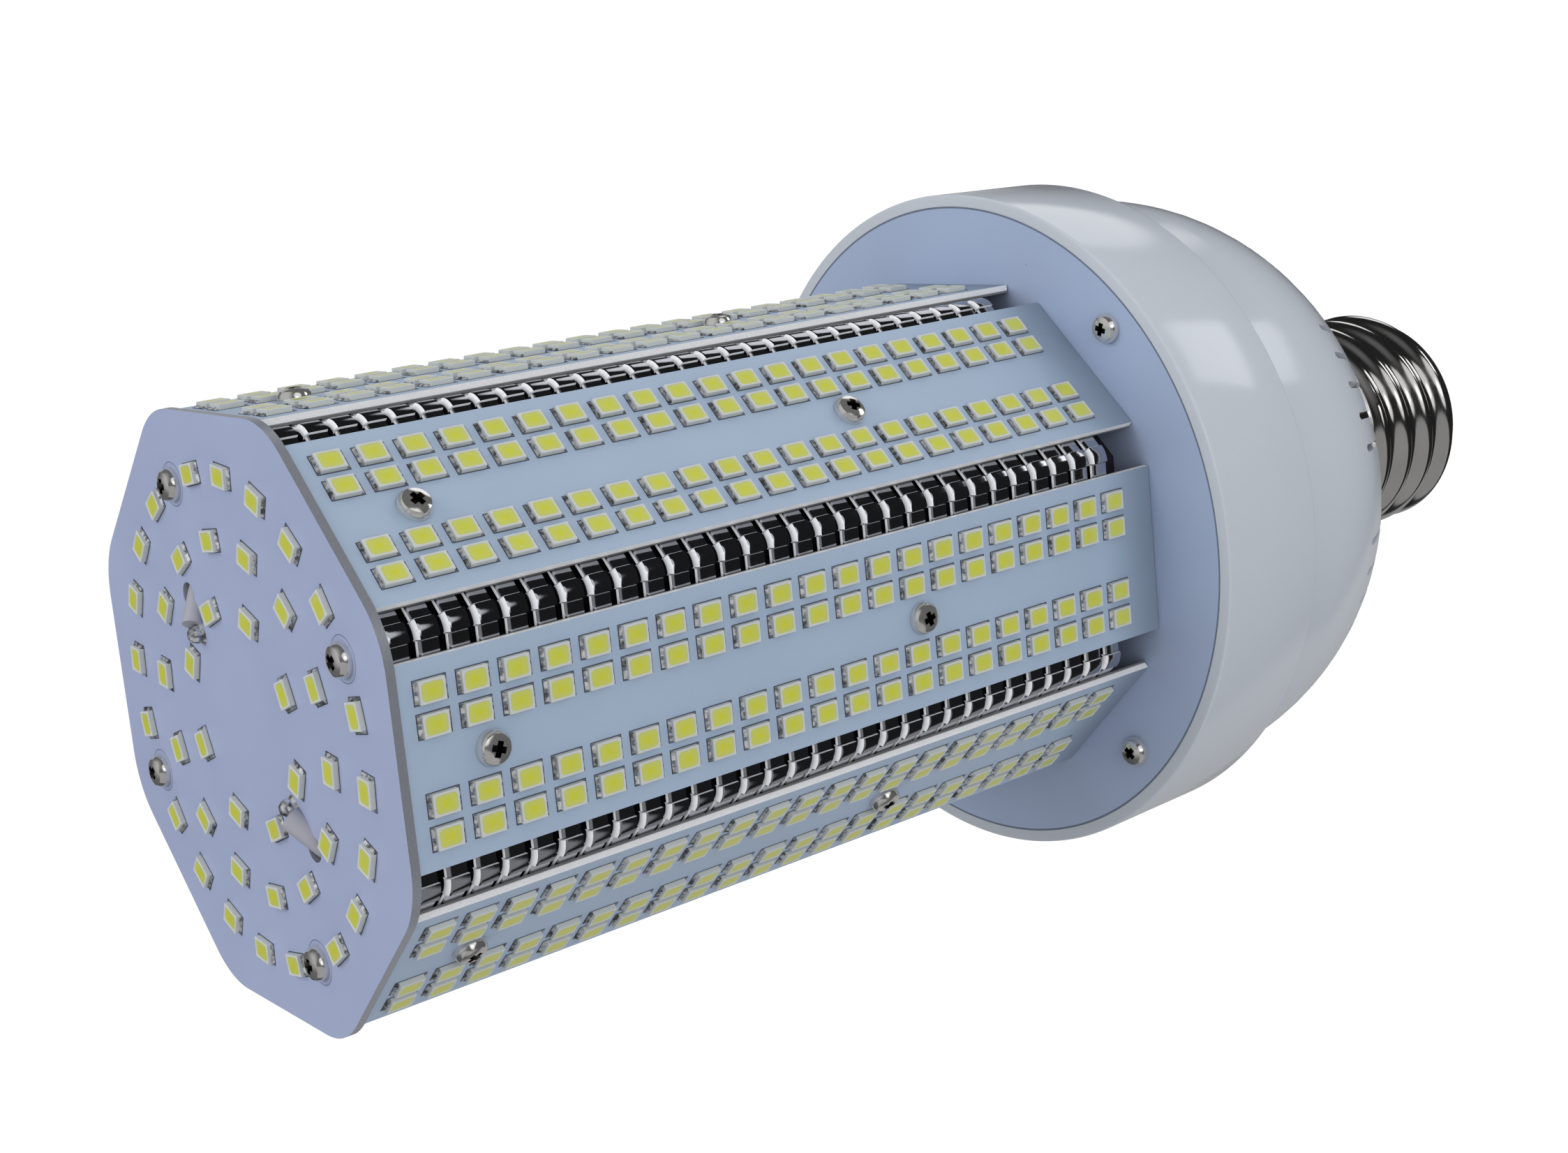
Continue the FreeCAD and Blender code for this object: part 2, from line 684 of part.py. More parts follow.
pieces = {
    "cap_contact": cap_contact(),
    "cap_insulator": cap_insulator(),
    "cap_shell": cap_shell(),
    "cap_lead_centre": cap_lead_centre(),
    "cap_lead_side": cap_lead_side(),
    "housing_dome": housing_dome(),
    "housing_ring": housing_ring(),
    "base_disc": base_disc(),
    "base_disc_screws": screws(DISC_SCREW, disc_screw_places),
    "driver_board": driver_board(),
    "driver_board_screws": screws(DRIVER_SCREW, driver_screw_places),
    "driver_transformer": driver_transformer(),
    "driver_winding": driver_winding(),
    "driver_capacitors": driver_capacitors(),
    "driver_choke": driver_choke(),
    "driver_film_capacitor": driver_film_capacitor(),
    "fin_core": fin_core(),
    "fin_core_screws": screws(CORE_SCREW, core_screw_places),
    "fin_stack": fin_stack(),
    "board_screws": screws(BOARD_SCREW, board_screw_places()),
    "end_plate": end_plate(),
    "end_plate_leds": plate_leds(),
    "end_plate_screws": screws(PLATE_SCREW, plate_screw_places),
    "solder_joints": solder_joints(),
}
for number, angle in enumerate(side_angles(), start=1):
    pieces["led_board_%d" % number] = led_board(angle)
    pieces["board_leds_%d" % number] = board_leds(angle)
for number, (hole, joint) in enumerate(zip(lead_holes, lead_joints), start=1):
    pieces["lead_wire_%d" % number] = lead_wire(hole, joint)

os.makedirs("parts", exist_ok=True)
for name, shape in pieces.items():
    shape.exportStep("parts/%s.step" % name)
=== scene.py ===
# Corn LED bulb with a large screw cap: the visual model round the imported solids.
# Metres, in the frame of the solids: the origin is the tip of the centre
# contact, on the axis, and +Z runs along the axis to the LED end.
import math

import bmesh
import bpy
from bpy.props import FloatProperty, FloatVectorProperty, IntProperty, PointerProperty
from bpy.types import Operator, Panel, PropertyGroup
from mathutils import Matrix, Vector


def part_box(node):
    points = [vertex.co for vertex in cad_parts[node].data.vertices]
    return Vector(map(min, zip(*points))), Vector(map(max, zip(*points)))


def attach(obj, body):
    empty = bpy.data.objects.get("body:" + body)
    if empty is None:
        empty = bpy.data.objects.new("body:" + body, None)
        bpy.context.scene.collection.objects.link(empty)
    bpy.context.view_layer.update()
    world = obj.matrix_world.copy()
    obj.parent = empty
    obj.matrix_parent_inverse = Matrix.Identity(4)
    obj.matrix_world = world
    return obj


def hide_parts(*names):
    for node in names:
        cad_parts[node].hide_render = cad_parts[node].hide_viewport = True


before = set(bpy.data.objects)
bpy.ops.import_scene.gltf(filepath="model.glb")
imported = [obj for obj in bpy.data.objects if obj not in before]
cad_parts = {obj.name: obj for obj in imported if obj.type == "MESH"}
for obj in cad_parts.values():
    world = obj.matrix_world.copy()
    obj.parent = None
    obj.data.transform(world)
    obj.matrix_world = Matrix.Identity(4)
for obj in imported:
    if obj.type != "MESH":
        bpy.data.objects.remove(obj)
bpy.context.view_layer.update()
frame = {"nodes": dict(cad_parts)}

bl_info = {
    "name": "Corn LED Bulb",
    "version": (1, 0, 0),
    "blender": (4, 5, 0),
    "location": "View3D > Sidebar > Corn Bulb",
    "description": "Adds the detailed pieces and the finishes of a corn LED bulb",
    "category": "Object",
}

MM = 0.001
FULL_TURN = 2 * math.pi
ORIGIN = Vector((0, 0, 0))
AXIS_X = Vector((1, 0, 0))
AXIS_Y = Vector((0, 1, 0))
AXIS_Z = Vector((0, 0, 1))
SIDES = 8
HALF_SIDE_TURN = FULL_TURN / SIDES / 2
WELD = 1e-6
SMOOTH_ANGLE = math.radians(32)
BODY = "root"


# Properties

def length(name, millimetres, description):
    """Property for a length, written in millimetres and kept in metres."""
    return FloatProperty(name=name, description=description, default=millimetres * MM,
                         precision=5, subtype="DISTANCE", unit="LENGTH")


def amount(name, value, description):
    """Property for a plain number."""
    return FloatProperty(name=name, description=description, default=value, min=0)


def angle(name, degrees, description):
    """Property for an angle, written in degrees and kept in radians."""
    return FloatProperty(name=name, description=description,
                         default=math.radians(degrees), subtype="ANGLE", unit="ROTATION")


def count(name, number, description):
    """Property for a whole number."""
    return IntProperty(name=name, description=description, default=number, min=1)


def linear(red, green, blue):
    """Linear colour for display values from 0 to 255."""
    shares = [value / 255 for value in (red, green, blue)]
    return tuple(share / 12.92 if share <= 0.04045 else ((share + 0.055) / 1.055) ** 2.4
                 for share in shares)


def tint(name, display, description):
    """Property for a colour, written as display values and kept linear."""
    return FloatVectorProperty(name=name, description=description, size=3, min=0, max=1,
                               default=linear(*display), subtype="COLOR")


class BulbStage(PropertyGroup):
    """Camera, lamps and backdrop."""
    camera_place: FloatVectorProperty(
        name="Camera Place", description="Where the camera stands", size=3, precision=5,
        default=(0.230104, -0.128911, 0.354264), subtype="TRANSLATION", unit="LENGTH")
    camera_aim: FloatVectorProperty(
        name="Camera Aim", description="Point that the camera looks at", size=3, precision=5,
        default=(0.008405, 0.013120, 0.153384), subtype="TRANSLATION", unit="LENGTH")
    camera_up: FloatVectorProperty(
        name="Camera Up", description="Direction that is up in the picture", size=3,
        default=(0.641112, 0.746018, -0.180090), subtype="DIRECTION")
    lens: FloatProperty(
        name="Lens", description="Focal length", default=50.14, subtype="DISTANCE_CAMERA",
        unit="CAMERA")
    shift_x: FloatProperty(name="Shift X", description="Sideways lens shift", default=0.00961)
    shift_y: FloatProperty(name="Shift Y", description="Upward lens shift", default=-0.06706)
    key_power: amount("Key Power", 4.9, "Power of the large soft lamp over the LED end")
    front_power: amount("Front Power", 2.7, "Power of the soft lamp beside the camera")
    box_power: amount("Box Power", 0.135, "Power of the low soft box by the housing")
    low_power: amount("Low Power", 0.8, "Power of the weak lamp under the housing")
    fill_level: amount("Fill Level", 0.66, "Brightness of the light from all round")
    room_level: amount("Room Level", 0.02, "Brightness of the room, seen in bare metal")
    floor_drop: length("Floor Drop", 420.0, "Depth of the floor below the contact")
    floor_size: length("Floor Size", 9000.0, "Width of the floor")


class BulbBoards(PropertyGroup):
    """Circuit boards, end plate and metal disc."""
    mask_colour: tint("Mask Colour", (158, 176, 199), "Colour of the boards' solder mask")
    plate_colour: tint("Plate Colour", (155, 166, 197), "Colour of the end plate's mask")
    disc_colour: tint("Disc Colour", (157, 172, 201), "Colour of the disc's coating")
    metal_colour: tint("Metal Colour", (244, 246, 249), "Colour of the boards' cut edges")
    sawn_colour: tint("Sawn Colour", (170, 174, 184), "Colour of the end plate's milled edge")
    # The core is coloured dark as painted shade of the deep gaps between the fins.
    core_colour: tint("Core Colour", (46, 46, 54), "Colour of the core tube")
    # Painted shade of the gap between the disc and the ring, as a dark band on the disc's edge.
    seam_shade_width: length("Seam Width", 0.26, "Width of the dark seam round the disc")
    ring_radius: length("Ring Radius", 2.9, "Radius of the open ring round a plate screw")
    ring_line: length("Ring Line", 0.07, "Half of the open ring's width")
    # The cut edges get a painted highlight at the front and painted shade behind it: where the
    # shade is full, where the highlight begins, and the shade's tone.
    edge_start: length("Edge Start", 37.95, "Distance from the axis to a dark cut edge's end")
    edge_end: length("Edge End", 38.15, "Distance from the axis to a bright cut edge")
    edge_painted_shade: amount("Edge Tone", 0.2, "Brightness of the cut edges' dark part")
    # Painted shade on the boards' foot beside the disc: how deep it is and the height it
    # reaches.
    foot_painted_shade: amount("Foot Shade", 0.42, "Darkening of the boards beside the disc")
    foot_height: length("Foot Height", 12.0, "Height over which the boards are darker")


class BulbLeds(PropertyGroup):
    """LED packages."""
    length: length("Length", 3.5, "Length of a package's white body")
    width: length("Width", 2.8, "Width of a package")
    frame: length("Frame", 0.25, "Width of the white frame round the window")
    window_depth: length("Window Depth", 0.06, "Depth of the window below the frame")
    corner: length("Corner", 0.5, "Corner radius of the window")
    edge: length("Edge", 0.07, "Rounding of the body's top edges")
    pad_reach: length("Pad Reach", 0.42, "Reach of the solder beyond the package's ends")
    pad_height: length("Pad Height", 0.34, "Height of the solder at the package's ends")
    pitch: length("Pitch", 5.7, "Distance between packages along a board")
    inner_row: length("Inner Row", 4.69, "Distance of the inner rows from the middle")
    row_step: length("Row Step", 3.98, "Distance between the two rows of a side")
    rows: count("Packages per Row", 21, "Packages in one row of a board")
    top_margin: length("Top Margin", 4.2, "First package's distance from the board's end")
    body_colour: tint("Body Colour", (194, 198, 196), "Colour of the packages' white body")
    middle_colour: tint("Middle Colour", (198, 201, 58), "Colour in the window's middle")
    rim_colour: tint("Rim Colour", (194, 200, 104), "Colour at the window's rim")
    solder_colour: tint("Solder Colour", (206, 208, 212), "Colour of the solder")
    pad_colour: tint("Pad Colour", (138, 148, 164), "Colour of the pads under the packages")
    # The line round the pads is painted shade at the real edge of the mask's opening.
    pad_gap_shade_colour: tint("Gap Colour", (58, 58, 66), "Colour of the line round the pads")
    pad_margin: length("Pad Margin", 0.14, "Width of the pad beside a package")
    pad_line: length("Pad Line", 0.09, "Width of the line round the pads")
    pad_thickness: length("Pad Thickness", 0.04, "Thickness of the pads")
    outer_circle: length("Outer Circle", 31.83, "Radius of the end plate's outer circle")
    outer_step: angle("Outer Step", 16.45, "Angle between packages of the outer circle")
    middle_circle: length("Middle Circle", 23.1, "Radius of the end plate's middle circle")
    inner_circle: length("Inner Circle", 14.4, "Radius of the end plate's inner circle")


class BulbScrews(PropertyGroup):
    """Pan-head screws with a cross recess."""
    head_radius: length("Head Radius", 2.25, "Radius of a screw's head")
    head_height: length("Head Height", 1.7, "Height of a screw's head")
    shank_radius: length("Shank Radius", 1.45, "Radius of a screw's shank")
    shank_length: length("Shank Length", 4.5, "Length of a screw's shank")
    long_shank: length("Long Shank", 9.0, "Length of the plate's and the disc's screws")
    recess_width: length("Recess Width", 0.9, "Width of the recess's arms")
    recess_reach: length("Recess Reach", 3.0, "Length across the recess's arms")
    recess_depth: length("Recess Depth", 1.15, "Depth of the recess")
    first_drop: length("First Drop", 11.3, "First board screw's distance from the end")
    second_drop: length("Second Drop", 79.6, "Second board screw's distance from the end")
    plate_circle: length("Plate Circle", 31.85, "Radius of the end plate screws' circle")
    disc_inset: length("Disc Inset", 5.1, "Distance of the disc's screws from its edge")
    metal_colour: tint("Metal Colour", (226, 225, 223), "Colour of the screws")
    # The recess is the same metal as the head, coloured darker as painted shade.
    recess_shade_colour: tint("Recess Colour", (92, 89, 87), "Colour inside the recess")


class BulbFins(PropertyGroup):
    """Pressed cooling fins."""
    thickness: length("Thickness", 0.4, "Thickness of the sheet")
    pitch: length("Pitch", 4.0, "Distance between fins")
    number: count("Number", 30, "Number of fins")
    core_apothem: length("Core Apothem", 32.0, "Distance of the core's flats from the axis")
    bend_radius: length("Bend Radius", 0.8, "Outer radius of the flanges' bend")
    flange_depth: length("Flange Depth", 2.9, "Depth of the flanges below the fin's top")
    flange_reach: length("Flange Reach", 14.15, "Half of a flange's length")
    corner_curve: length("Corner Curve", 3.1, "Radius of the outline's corners")
    corner_rise: length("Corner Rise", 0.2, "Rise of the corner flanges over the others")
    corner_depth: length("Corner Depth", 3.1, "Depth of the corner flanges")
    sheet_colour: tint("Sheet Colour", (176, 178, 185), "Colour of the flanges' faces")
    # Painted shade: the webs between the fins are coloured dark.
    inside_shade_colour: tint("Inside Colour", (30, 29, 36), "Colour between the fins")
    # The cut edges' colour also serves as a painted highlight on the bends.
    edge_and_highlight_colour: tint("Edge Colour", (236, 238, 242), "Colour of the cut edges")


class BulbHousing(PropertyGroup):
    """Plastic ring and vented dome."""
    wall: length("Wall", 2.0, "Thickness of the dome's wall")
    neck_radius: length("Neck Radius", 22.5, "Radius of the neck")
    neck_length: length("Neck Length", 6.7, "Length of the neck")
    curve_radius: length("Curve Radius", 41.0, "Radius of the dome's curve")
    mouth_draft: length("Mouth Draft", 0.5, "Widening of the dome's straight part")
    mouth_height: length("Mouth Height", 8.0, "Height of the dome's straight part")
    rim_width: length("Rim Width", 1.88, "Width of the ring's front rim")
    ring_draft: length("Ring Draft", 0.45, "Widening of the ring towards its front")
    ring_wall: length("Ring Wall", 2.2, "Thickness of the ring's wall")
    rim_round: length("Rim Round", 0.35, "Rounding of the ring's outer edges")
    ring_step: length("Ring Step", 3.15, "Step from the ring's outside to the dome's mouth")
    lip: length("Lip", 2.0, "Height of the lips where the ring and the dome meet")
    spigot_radius: length("Spigot Radius", 18.6, "Radius of the spigot inside the cap")
    disc_depth: length("Disc Depth", 1.5, "Depth of the recess for the disc")
    vents: count("Vents per Group", 5, "Vents in each of the eight groups")
    vent_step: angle("Vent Step", 6.5, "Angle between vents")
    vent_half_width: angle("Vent Half Width", 0.72, "Half of a vent's width")
    vent_top: length("Vent Top", 15.3, "Drop from the dome's widest place to the vents")
    vent_foot: length("Vent Foot", 33.0, "Drop from the dome's widest place to the vents' ends")
    vent_round: length("Vent Round", 0.5, "Length of a vent's rounded end")
    plastic_colour: tint("Plastic Colour", (187, 193, 202), "Colour of the plastic")
    # Painted shade on the dome's inner wall.
    inside_shade_colour: tint("Inside Colour", (84, 86, 92), "Colour inside the dome")


class BulbCap(PropertyGroup):
    """Screw cap."""
    pitch: length("Pitch", 6.35, "Pitch of the thread")
    crest_radius: length("Crest Radius", 19.75, "Radius of the thread's crests")
    root_radius: length("Root Radius", 17.95, "Radius between the thread's crests")
    crest_height: length("Crest Height", 12.0, "Height of the first crest at its angle")
    crest_angle: angle("Crest Angle", -30.0, "Angle at which the first crest is measured")
    thread_low: length("Thread Start", 11.3, "Height where the thread has risen")
    thread_high: length("Thread End", 31.6, "Height where the thread starts to fall")
    skirt_radius: length("Skirt Radius", 19.3, "Radius of the plain skirt")
    skirt_length: length("Skirt Length", 6.0, "Length of the plain skirt")
    skirt_flare: length("Skirt Flare", 1.6, "Length of the step to the skirt")
    wall: length("Wall", 0.6, "Thickness of the shell")
    edge_round: length("Edge Round", 0.15, "Rounding of the shell's edges")
    nose_radius: length("Nose Radius", 9.6, "Radius of the insulator's tip")
    nose_round: length("Nose Round", 0.7, "Rounding of the insulator's edges")
    bore_radius: length("Bore Radius", 2.1, "Radius of the insulator's bore")
    cone_inset: length("Cone Inset", 1.0, "Distance from the thread's root to the cone's edge")
    clearance: length("Clearance", 0.1, "Gap between the insulator and the shell's wall")
    metal_colour: tint("Metal Colour", (208, 206, 205), "Colour of the plated shell")
    glass_colour: tint("Insulator Colour", (24, 23, 26), "Colour of the insulator")


class BulbLeads(PropertyGroup):
    """Insulated leads and their solder joints on the end plate."""
    radius: length("Radius", 1.55, "Radius of a lead")
    bend: length("Bend", 2.4, "Radius of a lead's bend")
    slant: angle("Slant", 28.0, "Angle at which a lead leaves the end plate")
    cut_gap: length("Cut Gap", 1.25, "Distance from the sleeve's cut end to its joint")
    joint_radius: length("Joint Radius", 0.95, "Radius of a solder joint")
    joint_height: length("Joint Height", 1.9, "Height of a solder joint")
    joint_stretch: amount("Joint Stretch", 1.3, "Length of a solder joint over its width")
    sleeve_colour: tint("Sleeve Colour", (160, 160, 170), "Colour of the insulation")
    tin_colour: tint("Tin Colour", (190, 192, 196), "Colour of the solder joints")


class BulbInside(PropertyGroup):
    """Parts that the housing hides."""
    steel_colour: tint("Steel Colour", (170, 170, 174), "Colour of the hidden screws")
    board_colour: tint("Board Colour", (30, 96, 62), "Colour of the driver's board")
    core_colour: tint("Core Colour", (48, 48, 52), "Colour of the transformer's core")
    wire_colour: tint("Wire Colour", (150, 84, 34), "Colour of the choke's wire")
    # Painted shade in the creases between the wire's turns.
    wire_gap_shade_colour: tint("Wire Gap Colour", (96, 50, 20), "Colour between the wire's turns")
    tape_colour: tint("Tape Colour", (214, 180, 60), "Colour of the winding's tape")
    lap_colour: tint("Lap Colour", (196, 160, 44), "Colour of the tape's laps")
    can_colour: tint("Can Colour", (34, 36, 44), "Colour of the can capacitors")
    film_colour: tint("Film Colour", (150, 44, 30), "Colour of the film capacitor")
    lead_colour: tint("Lead Colour", (200, 200, 200), "Colour of the leads to the cap")


# Node trees

class Sum:
    """Output socket of a node, on which sums are written as expressions."""

    def __init__(self, tree, socket):
        self.tree = tree
        self.socket = socket

    def __add__(self, other):
        return self.tree.maths("ADD", self, other)

    def __radd__(self, other):
        return self.tree.maths("ADD", other, self)

    def __sub__(self, other):
        return self.tree.maths("SUBTRACT", self, other)

    def __rsub__(self, other):
        return self.tree.maths("SUBTRACT", other, self)

    def __mul__(self, other):
        return self.tree.maths("MULTIPLY", self, other)

    def __rmul__(self, other):
        return self.tree.maths("MULTIPLY", other, self)

    def __gt__(self, other):
        return self.tree.maths("GREATER_THAN", self, other)

    def __lt__(self, other):
        return self.tree.maths("LESS_THAN", self, other)

    def size(self):
        """Value without its sign."""
        return self.tree.maths("ABSOLUTE", self)

    def ramp(self, low, high, first=0.0, last=1.0):
        """Smooth step from first to last, between two values."""
        return self.tree.add("ShaderNodeMapRange", {"interpolation_type": "SMOOTHSTEP"},
                             {"Value": self, "From Min": low, "From Max": high,
                              "To Min": first, "To Max": last})


class Tree:
    """Node tree of a material or of the world."""

    def __init__(self, owner):
        owner.use_nodes = True
        self.tree = owner.node_tree
        self.tree.nodes.clear()

    def add(self, kind, settings=None, values=None, output=0):
        """Adds a node: its settings first, then its sockets' values or links."""
        node = self.tree.nodes.new(kind)
        for name, value in (settings or {}).items():
            setattr(node, name, value)
        for name, value in (values or {}).items():
            if isinstance(value, Sum):
                self.tree.links.new(value.socket, node.inputs[name])
            else:
                node.inputs[name].default_value = value
        if not node.outputs:
            return None
        return Sum(self, node.outputs[output])

    def maths(self, operation, first, second=0.0):
        """Value worked out from one or two others."""
        return self.add("ShaderNodeMath", {"operation": operation}, {0: first, 1: second})

    def mix(self, factor, low, high):
        """Colour between two colours."""
        low, high = [value if isinstance(value, Sum) else (*value, 1.0)
                     for value in (low, high)]
        return self.add("ShaderNodeMix", {"data_type": "RGBA"},
                        {0: factor, 6: low, 7: high}, output=2)

    def vector(self, operation, first, values, output=0):
        """Vector or colour worked out from another."""
        return self.add("ShaderNodeVectorMath", {"operation": operation},
                        {0: first, **values}, output)

    def scaled(self, colour, factor):
        """Colour made darker or lighter by a value."""
        if not isinstance(colour, Sum):
            colour = tuple(colour)
        return self.vector("SCALE", colour, {"Scale": factor})

    def hypot(self, x, y):
        """Length of a vector of two parts."""
        return self.maths("SQRT", x * x + y * y)

    def place(self):
        """Object coordinates."""
        return self.add("ShaderNodeTexCoord", output="Object")

    def split(self, vector):
        """The three parts of a vector."""
        node = self.add("ShaderNodeSeparateXYZ", values={0: vector}).socket.node
        return [Sum(self, socket) for socket in node.outputs]

    def facing(self):
        """The three parts of the direction that the surface faces."""
        return self.split(self.add("ShaderNodeNewGeometry", output="True Normal"))

    def rays(self):
        """Whether a ray comes from the camera, and whether from gloss or glass."""
        rays = self.add("ShaderNodeLightPath").socket.node.outputs
        camera, gloss, glass = [Sum(self, rays["Is %s Ray" % kind])
                                for kind in ("Camera", "Glossy", "Transmission")]
        return camera, self.maths("MAXIMUM", gloss, glass)

    def noise(self, place, period, detail=2.0, rough=0.5):
        """Soft noise about 0.5, of a period in metres."""
        return self.add("ShaderNodeTexNoise", values={
            "Vector": place, "Scale": 1 / period, "Detail": detail, "Roughness": rough})

    def bump(self, height, distance):
        """Surface direction that follows a height."""
        return self.add("ShaderNodeBump", values={
            "Strength": 1.0, "Distance": distance, "Height": height})

    def surface(self, **values):
        """Ends a material's tree in one shader."""
        sockets = {name.replace("_", " ").title(): value for name, value in values.items()}
        shader = self.add("ShaderNodeBsdfPrincipled", values=sockets)
        self.add("ShaderNodeOutputMaterial", values={"Surface": shader})


def new_finish(name):
    """New material and its node tree."""
    material = bpy.data.materials.new(name)
    return material, Tree(material)


# Finishes

def brushed_metal(name, colour, rough, scratch_period, squeeze=1.0, metallic=1.0):
    """Metal with fine streaks and faint clouding. Squeeze shortens the streaks along the
    axis, so that they run round it."""
    material, tree = new_finish(name)
    place = tree.place()
    squeezed = tree.vector("MULTIPLY", place, {1: (1.0, 1.0, squeeze)})
    streaks = tree.noise(squeezed, scratch_period, detail=3.0)
    clouds = tree.noise(place, 6 * MM)
    shade = 0.86 + 0.2 * clouds + 0.1 * (streaks - 0.5)
    roughness = rough + 0.16 * (streaks - 0.5) + 0.1 * (clouds - 0.5)
    tree.surface(base_color=tree.scaled(colour, shade), metallic=metallic,
                 roughness=roughness, normal=tree.bump(streaks, 2e-6))
    return material


def board_mask(name, colour, metal, shine=0.1, edge=None, rings=None, foot=None,
               rim=None):
    """Solder mask on the front of an aluminium board, bare on its cut edges. Where an edge
    is given, the board is one of the sides, and otherwise it lies level.
    Edge: distance from the axis where a cut edge's painted shade is full and where its painted
    highlight begins, and the tone of that painted shade.
    Rings, open circles in the mask round the screws: circle of the screws, radius, line.
    Foot: height where the painted shade on the mask is deepest and where it ends, and how deep
    it is.
    Rim: radius of a disc, and width of the painted shade of the seam inside it."""
    material, tree = new_finish(name)
    place = tree.place()
    x, y, z = tree.split(place)
    facing_x, facing_y, facing_z = tree.facing()
    clouds = tree.noise(place, 18 * MM, detail=3.0)
    grain = tree.noise(place, 0.5 * MM, detail=3.0, rough=0.7)
    dust = tree.add("ShaderNodeTexVoronoi", values={"Vector": place, "Scale": 1 / (11 * MM)})
    shade = 0.95 + 0.1 * clouds + 0.05 * (grain - 0.5) - 0.45 * (dust < 0.012)
    if edge:
        # Painted highlight and painted shade across the cut edges, by distance from the axis.
        dark, bright, painted_shade_tone = edge
        front = (facing_x * x + facing_y * y) > 0.02
        fold = tree.maths("PINGPONG", tree.maths("ARCTAN2", y, x), HALF_SIDE_TURN)
        level = tree.hypot(x, y) * tree.maths("COSINE", fold)
        tone = level.ramp(dark, bright, painted_shade_tone, 1.0)
    else:
        front = facing_z > 0.5
        tone = 1.0
    if rings:
        circle, radius, line = rings
        across = (x * math.cos(HALF_SIDE_TURN) - y * math.sin(HALF_SIDE_TURN)).size()
        along = (x * math.sin(HALF_SIDE_TURN) + y * math.cos(HALF_SIDE_TURN)).size()
        far = tree.maths("MAXIMUM", across, along) - circle
        near = tree.maths("MINIMUM", across, along)
        shade = shade - 0.5 * ((tree.hypot(far, near) - radius).size() < line)
    # Painted shade of the seam: a dark band just inside the disc's edge.
    if rim:
        radius, seam_shade = rim
        shade = shade * tree.hypot(x, y).ramp(radius - 1.3 * seam_shade, radius - seam_shade, 1.0, 0.4)
    # Painted shade, darker towards the boards' foot beside the disc.
    if foot:
        low, high, painted_shade = foot
        shade = shade * z.ramp(low, high, 1.0 - painted_shade, 1.0)
    squeezed = tree.vector("MULTIPLY", place, {1: (1.0, 1.0, 6.0)})
    streaks = tree.noise(squeezed, 0.4 * MM, detail=4.0)
    bare = tree.scaled(metal, tone * (0.7 + 0.6 * streaks))
    tree.surface(base_color=tree.mix(front, bare, tree.scaled(colour, shade)),
                 metallic=shine * (1.0 - front),
                 roughness=0.36 + 0.08 * front + 0.12 * (clouds - 0.5),
                 normal=tree.bump(grain, 4e-6))
    return material


def plastic(name, colour, rough):
    """Glossy moulded plastic with a faint texture."""
    material, tree = new_finish(name)
    place = tree.place()
    clouds = tree.noise(place, 25 * MM, detail=3.0)
    grain = tree.noise(place, 0.7 * MM)
    shade = 0.97 + 0.06 * clouds + 0.03 * (grain - 0.5)
    tree.surface(base_color=tree.scaled(colour, shade),
                 roughness=rough + 0.1 * (clouds - 0.5) + 0.06 * (grain - 0.5),
                 normal=tree.bump(grain, 5e-6))
    return material


def phosphor(name, middle, rim):
    """Yellow silicone window, deeper in colour towards its middle."""
    material, tree = new_finish(name)
    depth = tree.add("ShaderNodeAttribute", {"attribute_name": "depth"}, output="Fac")
    place = tree.place()
    speckle = tree.noise(place, 0.25 * MM, detail=3.0)
    patches = tree.noise(place, 5 * MM, detail=1.0)
    colour = tree.mix(depth.ramp(0.0, 0.9), rim, middle)
    tree.surface(base_color=tree.scaled(colour, 0.93 + 0.08 * speckle + 0.06 * patches),
                 roughness=0.3 + 0.12 * speckle, coat_weight=0.8,
                 normal=tree.bump(speckle, 6e-6))
    return material


def dull_metal(name, colour, rough):
    """Solder and tin, bright in places and grey in others."""
    material, tree = new_finish(name)
    place = tree.place()
    patches = tree.noise(place, 0.9 * MM)
    fine = tree.noise(place, 0.22 * MM)
    tree.surface(base_color=tree.scaled(colour, 0.2 + 1.5 * patches.ramp(0.3, 0.7)),
                 metallic=0.75, roughness=rough + 0.3 * (fine - 0.5),
                 normal=tree.bump(fine, 2e-5))
    return material


def coloured(name, colour, rough, period, spread=0.25, metallic=0.0):
    """Plain finish with grain. Spread is how much the grain changes the colour."""
    material, tree = new_finish(name)
    place = tree.place()
    grain = tree.noise(place, period, detail=4.0, rough=0.6)
    shade = 1.0 - spread / 2 + spread * grain
    tree.surface(base_color=tree.scaled(colour, shade),
                 metallic=metallic, roughness=rough + 0.2 * (grain - 0.5),
                 normal=tree.bump(grain, 2e-5))
    return material


def banded(name, first, second, period):
    """Two colours in turn along the bulb, as on wound wire and wrapped tape."""
    material, tree = new_finish(name)
    place = tree.place()
    height = tree.split(place)[2]
    wave = tree.maths("SINE", height * (FULL_TURN / period))
    stripes = wave.ramp(-0.3, 0.3)
    grain = tree.noise(place, 0.6 * MM, detail=3.0)
    colour = tree.scaled(tree.mix(stripes, first, second), 0.85 + 0.3 * grain)
    tree.surface(base_color=colour, roughness=0.4 + 0.15 * (grain - 0.5),
                 normal=tree.bump(wave, 8e-5))
    return material


def dress(node_name, material):
    """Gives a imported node's mesh a finish."""
    mesh = frame["nodes"][node_name].data
    mesh.materials.clear()
    mesh.materials.append(material)


# Shapes

